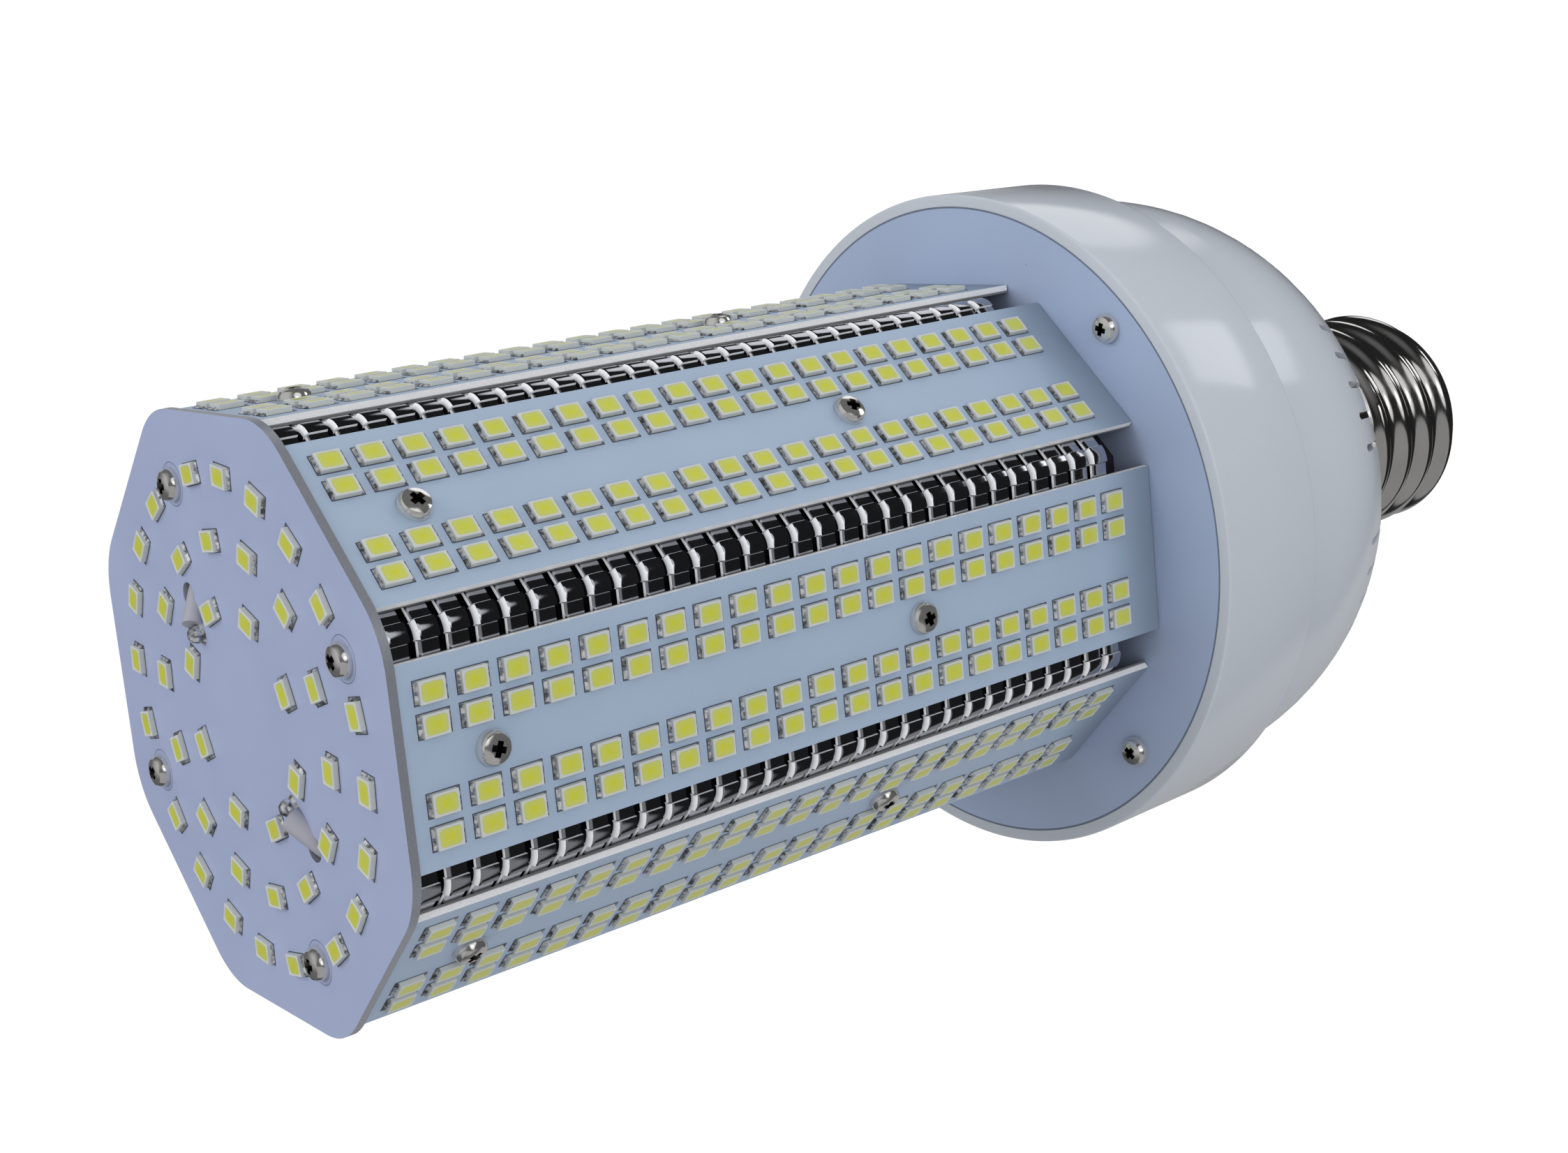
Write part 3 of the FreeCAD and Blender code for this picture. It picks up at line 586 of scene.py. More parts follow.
def thicken(piece, thickness, back, rim):
    """Gives an open shape a wall behind it, with finishes for its back and its rim."""
    wall = piece.modifiers.new("wall", "SOLIDIFY")
    wall.thickness = thickness
    wall.offset = -1.0
    wall.use_even_offset = True
    wall.material_offset = back
    wall.material_offset_rim = rim
    graph = bpy.context.evaluated_depsgraph_get()
    solid = bpy.data.meshes.new_from_object(piece.evaluated_get(graph))
    piece.modifiers.clear()
    piece.data = solid


def add_piece(name, shape, finishes, slot, *replaced, wall=None):
    """Makes an object of a shape, riding on the bulb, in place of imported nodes."""
    if not wall:
        bmesh.ops.recalc_face_normals(shape, faces=shape.faces)
    mesh = bpy.data.meshes.new(name)
    shape.to_mesh(mesh)
    shape.free()
    if not mesh.polygons:
        raise RuntimeError("%s has no faces" % name)
    for material in finishes:
        mesh.materials.append(material)
    piece = bpy.data.objects.new(name, mesh)
    bpy.context.scene.collection.objects.link(piece)
    if wall:
        thicken(piece, *wall)
    for polygon in piece.data.polygons:
        polygon.use_smooth = True
    piece.data.set_sharp_from_angle(angle=SMOOTH_ANGLE)
    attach(piece, BODY)
    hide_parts(*replaced)
    return piece


def of_kind(kind, items):
    """The corners or the faces among what an operator made."""
    return [item for item in items if isinstance(item, kind)]


def add_block(shape, size, centre=ORIGIN):
    """Adds a block to a shape, and gives back its corners."""
    corners = bmesh.ops.create_cube(shape, size=1.0)["verts"]
    bmesh.ops.scale(shape, verts=corners, vec=size)
    bmesh.ops.translate(shape, verts=corners, vec=centre)
    return corners


def colour_faces(corners, finish):
    """Gives the faces at some corners one of the shape's finishes, and gives them back."""
    faces = {face for corner in corners for face in corner.link_faces}
    for face in faces:
        face.material_index = finish
    return faces


def top_of(faces):
    """Highest of some faces, and of two at one height the larger."""
    return max(faces, key=lambda face: (round(face.calc_center_median().z, 7),
                                        face.calc_area()))


def weld(shape):
    """Joins corners that meet."""
    bmesh.ops.remove_doubles(shape, verts=shape.verts, dist=WELD)


def chain(shape, points, closed=False):
    """Joined edges through (radius, height) points."""
    corners = [shape.verts.new((radius, 0, height)) for radius, height in points]
    pairs = list(zip(corners, corners[1:]))
    if closed:
        pairs.append((corners[-1], corners[0]))
    for pair in pairs:
        shape.edges.new(pair)
    return corners


def bend(shape, corner, centre, turn, steps):
    """Adds an arc of edges from a corner, and gives back its last corner."""
    made = bmesh.ops.spin(shape, geom=[corner], cent=centre, axis=AXIS_Y, dvec=ORIGIN,
                          angle=turn, steps=steps, use_duplicate=False)
    return of_kind(bmesh.types.BMVert, made["geom_last"])[0]


def revolve(shape, steps):
    """Spins all that a shape holds once round the axis."""
    bmesh.ops.spin(shape, geom=shape.verts[:] + shape.edges[:], cent=ORIGIN, axis=AXIS_Z,
                   dvec=ORIGIN, angle=FULL_TURN, steps=steps, use_merge=True,
                   use_duplicate=False)
    weld(shape)
    bmesh.ops.recalc_face_normals(shape, faces=shape.faces)


def lathe(points, steps):
    """Closed body of revolution over (radius, height) points."""
    shape = bmesh.new()
    chain(shape, points, closed=points[0][0] > 0)
    revolve(shape, steps)
    return shape


def soften(shape, width, sharper=math.radians(28), segments=2, keep=None):
    """Rounds the edges that are sharper than an angle."""
    edges = [edge for edge in shape.edges
             if len(edge.link_faces) == 2 and edge.calc_face_angle() > sharper
             and (keep is None or keep(edge))]
    bmesh.ops.bevel(shape, geom=edges, offset=width, segments=segments, profile=0.5,
                    affect="EDGES", material=-1, clamp_overlap=True)


def scatter(pattern, places):
    """Shape with one copy of a pattern at each place."""
    template = bpy.data.meshes.new("template")
    pattern.to_mesh(template)
    pattern.free()
    shape = bmesh.new()
    for place in places:
        template.transform(place)
        shape.from_mesh(template)
        template.transform(place.inverted())
    bpy.data.meshes.remove(template)
    return shape


def turned(radians):
    """Turn about the bulb's axis."""
    return Matrix.Rotation(radians, 4, "Z")


def upright_place(radius, radians, height):
    """Place on a level face, turned with its angle round the axis."""
    return turned(radians) @ Matrix.Translation((radius, 0, height))


def board_place(side, distance, lateral, height):
    """Place on a side board, with local Z outwards and local Y along the axis."""
    lean = Matrix(((0, 0, 1, 0), (1, 0, 0, 0), (0, 1, 0, 0), (0, 0, 0, 1)))
    return (turned(side * FULL_TURN / SIDES)
            @ Matrix.Translation((distance, lateral, height)) @ lean)


# Operators

class BULB_OT_stage(Operator):
    """Set the camera, the lamps, the backdrop and the floor"""
    bl_idname = "bulb.stage"
    bl_label = "Set the Stage"

    # Pale screens round the bulb: direction, where each starts and is full, brightness
    screens = (((-0.55, 0.80, -0.25), 0.88, 0.96, 0.42),
               ((-0.72, -0.30, -0.62), 0.80, 0.88, 0.32),
               ((-0.10, -0.90, 0.42), 0.70, 0.76, 0.32),
               ((0.96, -0.22, 0.09), 0.93, 0.96, 0.9),
               ((0.30, 0.80, -0.52), 0.955, 0.98, 1.1),
               ((0.86, -0.50, 0.15), 0.965, 0.985, 1.0),
               ((0.20, 0.35, 0.90), 0.5, 0.95, 0.5))

    # Lamps: name, its power's property, place, width and height, whether metal mirrors it
    lamps = (("key_lamp", "key_power", (0.14, 0.50, 1.11), (0.7, 0.7), False),
             ("front_lamp", "front_power", (0.88, -0.51, 0.33), (0.6, 0.6), False),
             ("box_lamp", "box_power", (0.322, 0.025, -0.210), (0.135, 0.145), True),
             ("low_lamp", "low_power", (0.45, 0.40, -0.28), (0.4, 0.4), False))
    lamp_aim = Vector((0, 0, 0.12))

    def execute(self, context):
        stage = context.scene.bulb_stage
        self.add_camera(context, stage)
        self.light_world(context, stage)
        self.add_lamps(context, stage)
        self.add_floor(context, stage)
        context.scene.view_settings.view_transform = "Standard"
        return {"FINISHED"}

    def add_camera(self, context, stage):
        place = Vector(stage.camera_place)
        back = (place - Vector(stage.camera_aim)).normalized()
        right = Vector(stage.camera_up).cross(back).normalized()
        up = back.cross(right)
        data = bpy.data.cameras.new("camera")
        data.sensor_width = 36.0
        data.lens = stage.lens
        data.shift_x = stage.shift_x
        data.shift_y = stage.shift_y
        data.clip_start = 0.01
        camera = bpy.data.objects.new("camera", data)
        turn = Matrix((right, up, back)).transposed().to_4x4()
        camera.matrix_world = Matrix.Translation(place) @ turn
        context.scene.collection.objects.link(camera)
        context.scene.camera = camera

    def mirrored(self, tree, direction, stage):
        """Brightness of the studio as bare metal shows it, in one direction."""
        level = stage.room_level
        for toward, start, full, bright in self.screens:
            share = tree.vector("DOT_PRODUCT", direction, {1: Vector(toward).normalized()},
                                "Value")
            level = level + share.ramp(start, full, 0.0, bright)
        return level

    def light_world(self, context, stage):
        world = bpy.data.worlds.new("studio")
        context.scene.world = world
        tree = Tree(world)
        direction = tree.add("ShaderNodeTexCoord", output="Generated")
        camera_ray, shiny_ray = tree.rays()
        mirrored = self.mirrored(tree, direction, stage)
        soft = shiny_ray * mirrored + (1.0 - shiny_ray) * stage.fill_level
        level = camera_ray + (1.0 - camera_ray) * soft
        shader = tree.add("ShaderNodeBackground",
                          values={"Color": (1.0, 1.0, 1.0, 1.0), "Strength": level})
        tree.add("ShaderNodeOutputWorld", values={"Surface": shader})

    def add_lamps(self, context, stage):
        for name, power, place, size, shows in self.lamps:
            data = bpy.data.lights.new(name, "AREA")
            data.shape = "RECTANGLE"
            data.size, data.size_y = size
            data.energy = getattr(stage, power)
            lamp = bpy.data.objects.new(name, data)
            lamp.location = place
            aim = self.lamp_aim - Vector(place)
            lamp.rotation_euler = aim.to_track_quat("-Z", "Y").to_euler()
            lamp.visible_glossy = shows
            context.scene.collection.objects.link(lamp)

    def add_floor(self, context, stage):
        material, tree = new_finish("studio_floor")
        camera_ray, shiny_ray = tree.rays()
        direction = tree.vector("NORMALIZE", tree.place(), {})
        mirrored = self.mirrored(tree, direction, stage)
        shown = camera_ray + (1.0 - camera_ray) * mirrored
        paint = tree.add("ShaderNodeBsdfDiffuse", values={"Color": (0.8, 0.8, 0.8, 1.0)})
        glow = tree.add("ShaderNodeEmission", values={
            "Color": tree.scaled((1.0, 1.0, 1.0), 1.07 * shown)})
        both = tree.add("ShaderNodeMixShader", values={
            0: 0.9 * camera_ray + shiny_ray, 1: paint, 2: glow})
        tree.add("ShaderNodeOutputMaterial", values={"Surface": both})
        shape = bmesh.new()
        bmesh.ops.create_grid(shape, x_segments=1, y_segments=1, size=stage.floor_size / 2)
        bmesh.ops.translate(shape, verts=shape.verts, vec=(0, 0, -stage.floor_drop))
        mesh = bpy.data.meshes.new("studio_floor")
        shape.to_mesh(mesh)
        shape.free()
        mesh.materials.append(material)
        floor = bpy.data.objects.new("studio_floor", mesh)
        context.scene.collection.objects.link(floor)


class BULB_OT_boards(Operator):
    """Finish the side boards, the end plate, the disc and the core"""
    bl_idname = "bulb.boards"
    bl_label = "Finish the Boards"

    def execute(self, context):
        boards = context.scene.bulb_boards
        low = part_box("led_board_1")[0].z
        side = board_mask("side_board_mask", boards.mask_colour, boards.metal_colour,
                          edge=(boards.edge_start, boards.edge_end, boards.edge_painted_shade),
                          foot=(low, low + boards.foot_height, boards.foot_painted_shade))
        for number in range(1, SIDES + 1):
            dress("led_board_%d" % number, side)
        circle = context.scene.bulb_screws.plate_circle
        dress("end_plate", board_mask(
            "end_plate_mask", boards.plate_colour, boards.sawn_colour, shine=0.6,
            rings=(circle, boards.ring_radius, boards.ring_line)))
        dress("base_disc", board_mask(
            "disc_coating", boards.disc_colour, boards.metal_colour,
            rim=(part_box("base_disc")[1].x, boards.seam_shade_width)))
        # Dark core: painted shade of the deep gaps between the fins.
        dress("fin_core", coloured("core_metal", boards.core_colour, 0.5, 2 * MM,
                                   metallic=0.4))
        return {"FINISHED"}


class BULB_OT_leds(Operator):
    """Add the LED packages of the side boards and the end plate"""
    bl_idname = "bulb.leds"
    bl_label = "Add the LEDs"

    # Finishes of a package, in their order on the piece
    body, window, solder, pad_line, pad = range(5)

    def package(self, leds, height):
        """Package on z = 0, its long side along Y, with solder at both ends."""
        shape = bmesh.new()
        corners = add_block(shape, (leds.width, leds.length, height), (0, 0, height / 2))
        colour_faces(corners, self.body)
        depth = shape.verts.layers.float.new("depth")
        soften(shape, leds.edge, segments=1,
               keep=lambda edge: max(corner.co.z for corner in edge.verts) > height / 2)
        top = top_of(shape.faces)
        bmesh.ops.inset_region(shape, faces=[top], thickness=leds.frame - leds.edge,
                               use_even_offset=True)
        bmesh.ops.bevel(shape, geom=list(top.verts), offset=leds.corner, segments=2,
                        profile=0.5, affect="VERTICES", material=-1)
        top = top_of(shape.faces)
        bmesh.ops.inset_region(shape, faces=[top], thickness=leds.window_depth,
                               depth=-leds.window_depth, use_even_offset=True)
        fan = bmesh.ops.poke(shape, faces=[top])
        for corner in fan["verts"]:
            corner[depth] = 1.0
        for face in fan["faces"]:
            face.material_index = self.window
        for end in (-1, 1):
            self.add_solder(shape, leds, end)
        self.add_pad(shape, leds)
        return shape

    def add_pad(self, shape, leds):
        """Thin pad under a package, with a line of painted shade at the edge where the mask
        opens.
        """
        width = leds.width + 2 * leds.pad_margin
        length = leds.length + 2 * (leds.pad_reach + leds.pad_line)
        corners = add_block(shape, (width, length, leds.pad_thickness),
                            (0, 0, leds.pad_thickness / 2))
        top = top_of(colour_faces(corners, self.pad_line))
        bmesh.ops.inset_region(shape, faces=[top], thickness=leds.pad_line,
                               use_even_offset=True)
        top.material_index = self.pad

    def add_solder(self, shape, leds, end):
        """Sloping solder fillets at one end of a package, one each side."""
        width = leds.width * 0.36
        aside = leds.width * 0.26
        outward = end * (leds.length + leds.pad_reach) / 2
        middle = leds.pad_height / 2
        for side in (-1, 1):
            corners = add_block(shape, (width, leds.pad_reach, leds.pad_height),
                                (side * aside, outward, middle))
            for corner in corners:
                if corner.co.z > middle and corner.co.y * end > outward * end:
                    corner.co.z = 0.35 * leds.pad_height
            colour_faces(corners, self.solder)

    def execute(self, context):
        leds = context.scene.bulb_leds
        finishes = (
            plastic("led_body", leds.body_colour, 0.35),
            phosphor("led_phosphor", leds.middle_colour, leds.rim_colour),
            dull_metal("led_solder", leds.solder_colour, 0.3),
            coloured("pad_line", leds.pad_gap_shade_colour, 0.5, 0.5 * MM),
            coloured("pad_tin", leds.pad_colour, 0.35, 0.5 * MM, metallic=0.5))
        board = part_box("led_board_1")[1]
        first = board.z - leds.top_margin
        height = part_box("board_leds_1")[1].x - board.x
        rows = [side * (leds.inner_row + step * leds.row_step)
                for side in (-1, 1) for step in (0, 1)]
        for side in range(SIDES):
            places = [board_place(side, board.x, row, first - index * leds.pitch)
                      for row in rows for index in range(leds.rows)]
            shape = scatter(self.package(leds, height), places)
            add_piece("side_leds_%d" % (side + 1), shape, finishes, "leds",
                      "board_leds_%d" % (side + 1))
        self.add_end_plate_leds(leds, finishes)
        return {"FINISHED"}

    def add_end_plate_leds(self, leds, finishes):
        """Four groups of five in the outer circle, then the middle and inner circles."""
        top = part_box("end_plate")[1].z
        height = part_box("end_plate_leds")[1].z - top
        spots = [(leds.outer_circle,
                  HALF_SIDE_TURN + group * FULL_TURN / 4 + index * leds.outer_step)
                 for group in range(4) for index in range(-2, 3)]
        for number, radius, first in ((14, leds.middle_circle, 0.0),
                                      (8, leds.inner_circle, HALF_SIDE_TURN)):
            spots += [(radius, first + index * FULL_TURN / number) for index in range(number)]
        places = [upright_place(radius, radians, top) for radius, radians in spots]
        add_piece("plate_leds", scatter(self.package(leds, height), places), finishes,
                  "leds", "end_plate_leds")


class BULB_OT_screws(Operator):
    """Add the cross-recessed screws that show"""
    bl_idname = "bulb.screws"
    bl_label = "Add the Screws"

    # Turn of the first head, and the further turn of each next, so that no two look alike
    board_turn, side_turn, drop_turn = 0.4, 1.9, 0.7
    plate_turns = (0.3, 0.8)
    disc_turns = (0.5, 0.9)

    # Reach and width of the recess's foot, as shares of its top
    foot_reach, foot_width = 0.35, 0.8

    def blank(self, screws, shank_length):
        """Screw without its recess, with the seat of its head on z = 0."""
        head = screws.head_radius
        height = screws.head_height
        shank = screws.shank_radius
        return lathe(((0, height), (0.5 * head, 0.97 * height), (0.82 * head, 0.8 * height),
                      (0.97 * head, 0.5 * height), (head, 0.2 * height), (head, 0.0),
                      (shank, 0.0), (shank, -shank_length), (0, -shank_length)), 24)

    def cutter(self, screws):
        """Tapered cross that is cut out of a head."""
        shape = bmesh.new()
        for turn in (0.0, FULL_TURN / 4):
            corners = add_block(shape, (screws.recess_reach, screws.recess_width,
                                        2 * screws.recess_depth), (0, 0, screws.head_height))
            for corner in corners:
                if corner.co.z < screws.head_height:
                    corner.co.x *= self.foot_reach
                    corner.co.y *= self.foot_width
            bmesh.ops.rotate(shape, verts=corners, cent=ORIGIN,
                             matrix=Matrix.Rotation(turn, 3, "Z"))
        return shape

    def pattern(self, screws, shank_length):
        """Screw with its recess cut."""
        parts = []
        for name, shape in (("screw_blank", self.blank(screws, shank_length)),
                            ("screw_recess", self.cutter(screws))):
            mesh = bpy.data.meshes.new(name)
            shape.to_mesh(mesh)
            shape.free()
            part = bpy.data.objects.new(name, mesh)
            bpy.context.scene.collection.objects.link(part)
            parts.append(part)
        blank, recess = parts
        cut = blank.modifiers.new("recess", "BOOLEAN")
        cut.operation = "DIFFERENCE"
        cut.solver = "EXACT"
        cut.use_self = True
        cut.object = recess
        graph = bpy.context.evaluated_depsgraph_get()
        finished = bpy.data.meshes.new_from_object(blank.evaluated_get(graph))
        shape = bmesh.new()
        shape.from_mesh(finished)
        for part in parts:
            bpy.data.objects.remove(part)
        bpy.data.meshes.remove(finished)
        weld(shape)
        shape.normal_update()
        # Faces inside the recess get finish 1, the painted shade of the recess.
        for face in shape.faces:
            middle = face.calc_center_median()
            inside = middle.xy.length < 0.55 * screws.recess_reach
            wall = face.normal.z < 0.6 or middle.z < 0.7 * screws.head_height
            if inside and wall and middle.z > 0:
                face.material_index = 1
        return shape

    def execute(self, context):
        screws = context.scene.bulb_screws
        metal = (brushed_metal("screw_metal", screws.metal_colour, 0.12, 0.8 * MM,
                               metallic=0.85),
                 brushed_metal("screw_recess", screws.recess_shade_colour, 0.3, 0.8 * MM))
        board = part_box("led_board_1")[1]
        places = [board_place(side, board.x, 0.0, board.z - drop)
                  @ turned(self.board_turn + self.side_turn * side
                           + self.drop_turn * drop / MM)
                  for side in range(SIDES) for drop in (screws.first_drop, screws.second_drop)]
        add_piece("side_board_screws",
                  scatter(self.pattern(screws, screws.shank_length), places), metal,
                  "screws", "board_screws")
        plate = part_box("end_plate")[1]
        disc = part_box("base_disc")[1]
        for name, node, radius, first, top, turns in (
                ("plate_screws", "end_plate_screws", screws.plate_circle, -HALF_SIDE_TURN,
                 plate.z, self.plate_turns),
                ("disc_screws", "base_disc_screws", disc.x - screws.disc_inset, 0.0,
                 disc.z, self.disc_turns)):
            places = [upright_place(radius, first + index * FULL_TURN / 4, top)
                      @ turned(turns[0] + turns[1] * index) for index in range(4)]
            add_piece(name, scatter(self.pattern(screws, screws.long_shank), places), metal,
                      "screws", node)
        return {"FINISHED"}


class BULB_OT_fins(Operator):
    """Add the stack of flanged cooling fins"""
    bl_idname = "bulb.fins"
    bl_label = "Add the Fins"

    corner_steps = 3
    bend_steps = 4

    # Finishes: painted shade between the fins, a flange's face, and the cut edges' colour, also
    # painted as a highlight where a bend shines
    inside, face, shine = 0, 1, 2

    def corner(self, fins, apothem, side):
        """Half of a corner's outline, from a flat to the corner: places and directions."""
        middle = apothem - fins.corner_curve
        centre = Vector((middle, side * middle * math.tan(HALF_SIDE_TURN), 0))
        rows = []
        for step in range(self.corner_steps + 1):
            turn = side * HALF_SIDE_TURN * step / self.corner_steps
            onward = Vector((math.cos(turn), math.sin(turn), 0))
            rows.append((centre + onward * (fins.corner_curve + fins.corner_rise), onward))
        return rows

    def drape(self, shape, rows, depth, radius, bright):
        """Bend and flange that hang from a row of places. Bright are the bend's steps that get
        a painted highlight. Gives back the corners along its upper edge."""
        turns = [step * FULL_TURN / 4 / self.bend_steps
                 for step in range(self.bend_steps + 1)]
        profile = [(radius * (math.sin(turn) - 1), radius * (math.cos(turn) - 1))
                   for turn in turns] + [(0.0, -depth)]
        grid = [[shape.verts.new(place + onward * out + AXIS_Z * height)
                 for place, onward in rows] for out, height in profile]
        for level, (upper, lower) in enumerate(zip(grid, grid[1:])):
            for index in range(len(rows) - 1):
                face = shape.faces.new((upper[index], upper[index + 1],
                                        lower[index + 1], lower[index]))
                face.material_index = self.shine if level in bright else self.face
        return grid[0]

    def sheet(self, fins, apothem):
        """One fin's upper side on z = 0: web, flat flanges and corner flanges."""
        shape = bmesh.new()
        flat = [(Vector((apothem, side * fins.flange_reach, 0)), AXIS_X) for side in (-1, 1)]
        before = self.corner(fins, apothem, -1)[::-1]
        after = self.corner(fins, apothem, 1)
        rim = []
        # Each row's bright steps get the painted highlight.
        for rows, depth, bright in ((before, fins.corner_depth, (0, 1, 2)),
                                    (flat, fins.flange_depth, (1,)),
                                    (after, fins.corner_depth, (0, 1, 2))):
            rim += self.drape(shape, rows, depth, fins.bend_radius, bright)
        slope = math.tan(HALF_SIDE_TURN)
        inner = [shape.verts.new((fins.core_apothem, side * fins.core_apothem * slope, 0))
                 for side in (1, -1)]
        # The web keeps finish 0, the painted shade between the fins.
        shape.faces.new(rim + inner)
        return shape

    def execute(self, context):
        fins = context.scene.bulb_fins
        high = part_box("fin_stack")[1]
        fin = scatter(self.sheet(fins, high.x),
                      [turned(side * FULL_TURN / SIDES) for side in range(SIDES)])
        weld(fin)
        bmesh.ops.recalc_face_normals(fin, faces=fin.faces)
        if max(fin.faces, key=lambda face: face.calc_area()).normal.z < 0:
            bmesh.ops.reverse_faces(fin, faces=fin.faces)
        stack = scatter(fin, [Matrix.Translation((0, 0, high.z - index * fins.pitch))
                              for index in range(fins.number)])
        finishes = (
            coloured("fin_inside", fins.inside_shade_colour, 0.45, 3 * MM, metallic=0.3),
            brushed_metal("fin_flange", fins.sheet_colour, 0.08, 1.5 * MM, squeeze=5.0),
            coloured("fin_edge", fins.edge_and_highlight_colour, 0.3, 0.8 * MM))
        add_piece("cooling_fins", stack, finishes, "fins", "fin_stack",
                  wall=(fins.thickness, self.inside, self.shine))
        return {"FINISHED"}


class BULB_OT_housing(Operator):
    """Add the plastic ring and the vented dome"""
    bl_idname = "bulb.housing"
    bl_label = "Add the Housing"

    ring_steps = 180

    # Steps of the dome's curve: above the vents, beside them and below them
    curve_steps = (6, 8, 4)

    # Steps between two groups of vents
    plain_steps = 5

    def ring(self, housing):
        """Drafted ring with a recess for the disc and a lip under it."""
        low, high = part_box("housing_ring")
        front = high.x
        rear = front - housing.ring_draft
        recess = front - housing.rim_width
        inner = rear - housing.ring_wall
        mouth = rear - housing.ring_step
        seat = high.z - housing.disc_depth
        lip = low.z + housing.lip
        shape = lathe(((mouth, low.z), (rear, low.z), (front, high.z), (recess, high.z),
                       (recess, seat), (inner, seat), (inner, lip), (mouth, lip)),
                      self.ring_steps)
        between = (recess + front) / 2
        soften(shape, housing.rim_round, segments=3,
               keep=lambda edge: edge.verts[0].co.xy.length > between)
        return shape

    def dome(self, housing):
        """Outside of the dome, its neck and its spigot, open at its vents."""
        ring_low, ring_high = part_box("housing_ring")
        neck_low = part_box("cap_shell")[1].z
        spigot_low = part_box("housing_dome")[0].z
        widest = ring_low.z - housing.mouth_height
        mouth = ring_high.x - housing.ring_draft - housing.ring_step
        radius = mouth - housing.mouth_draft
        centre = Vector((radius - housing.curve_radius, 0, widest))
        shape = bmesh.new()
        corner = chain(shape, ((mouth, ring_low.z + housing.lip), (mouth, ring_low.z),
                               (radius, widest)))[-1]
        drops = (housing.vent_top, housing.vent_foot,
                 widest - neck_low - housing.neck_length)
        start = 0.0
        for drop, steps in zip(drops, self.curve_steps):
            turn = math.asin(drop / housing.curve_radius)
            corner = bend(shape, corner, centre, turn - start, steps)
            start = turn
        neck = chain(shape, ((housing.neck_radius, neck_low),
                             (housing.spigot_radius, neck_low),
                             (housing.spigot_radius, spigot_low)))
        shape.edges.new((corner, neck[0]))
        self.spin_with_vents(shape, housing)
        self.open_vents(shape, housing, widest)
        return shape

    def vent_group(self, housing):
        """Angle at which a group of vents starts, and the steps up to the next group."""
        half = housing.vent_half_width
        gap = housing.vent_step - 2 * half
        group = housing.vents * 2 * half + (housing.vents - 1) * gap
        steps = [half, half]
        for index in range(1, housing.vents):
            steps += [gap / 2, gap / 2, half, half]
        steps += [(FULL_TURN / SIDES - group) / self.plain_steps] * self.plain_steps
        return HALF_SIDE_TURN - group / 2, steps

    def spin_with_vents(self, shape, housing):
        """Spins the outline in steps that meet the vents' edges."""
        first, steps = self.vent_group(housing)
        bmesh.ops.rotate(shape, verts=shape.verts, cent=ORIGIN,
                         matrix=Matrix.Rotation(first, 3, "Z"))
        current = shape.verts[:] + shape.edges[:]
        for step in steps * SIDES:
            made = bmesh.ops.spin(shape, geom=current, cent=ORIGIN, axis=AXIS_Z,
                                  dvec=ORIGIN, angle=step, steps=1, use_duplicate=False)
            current = made["geom_last"]
        weld(shape)

    def open_vents(self, shape, housing, widest):
        """Takes the faces out of the vents, and rounds the vents' ends."""
        half = housing.vent_half_width
        first = self.vent_group(housing)[0] + half
        middles = [first + side * FULL_TURN / SIDES + index * housing.vent_step
                   for side in range(SIDES) for index in range(housing.vents)]
        top = widest - housing.vent_top
        foot = widest - housing.vent_foot

        def near_middle(place, limit):
            radians = math.atan2(place.y, place.x)
            return any(abs(math.remainder(radians - middle, FULL_TURN)) < limit
                       for middle in middles)

        doomed = []
        for face in shape.faces:
            middle = face.calc_center_median()
            if foot < middle.z < top and near_middle(middle, half):
                doomed.append(face)
        bmesh.ops.delete(shape, geom=doomed, context="FACES")
        for corner in shape.verts:
            if not corner.is_boundary or not near_middle(corner.co, half / 3):
                continue
            for end, sign in ((top, 1), (foot, -1)):
                if abs(corner.co.z - end) < 10 * WELD:
                    onward = [edge.other_vert(corner).co for edge in corner.link_edges
                              if (edge.other_vert(corner).co.z - corner.co.z) * sign > 0]
                    if onward:
                        along = (onward[0] - corner.co).normalized()
                        corner.co += along * housing.vent_round

    def execute(self, context):
        housing = context.scene.bulb_housing
        outside = plastic("housing_plastic", housing.plastic_colour, 0.12)
        # The dome's back faces get painted shade.
        inside = coloured("housing_inside", housing.inside_shade_colour, 0.6, 4 * MM)
        add_piece("front_ring", self.ring(housing), (outside,), "housing", "housing_ring")
        add_piece("vented_dome", self.dome(housing), (outside, inside), "housing",
                  "housing_dome", wall=(housing.wall, 1, 0))
        return {"FINISHED"}


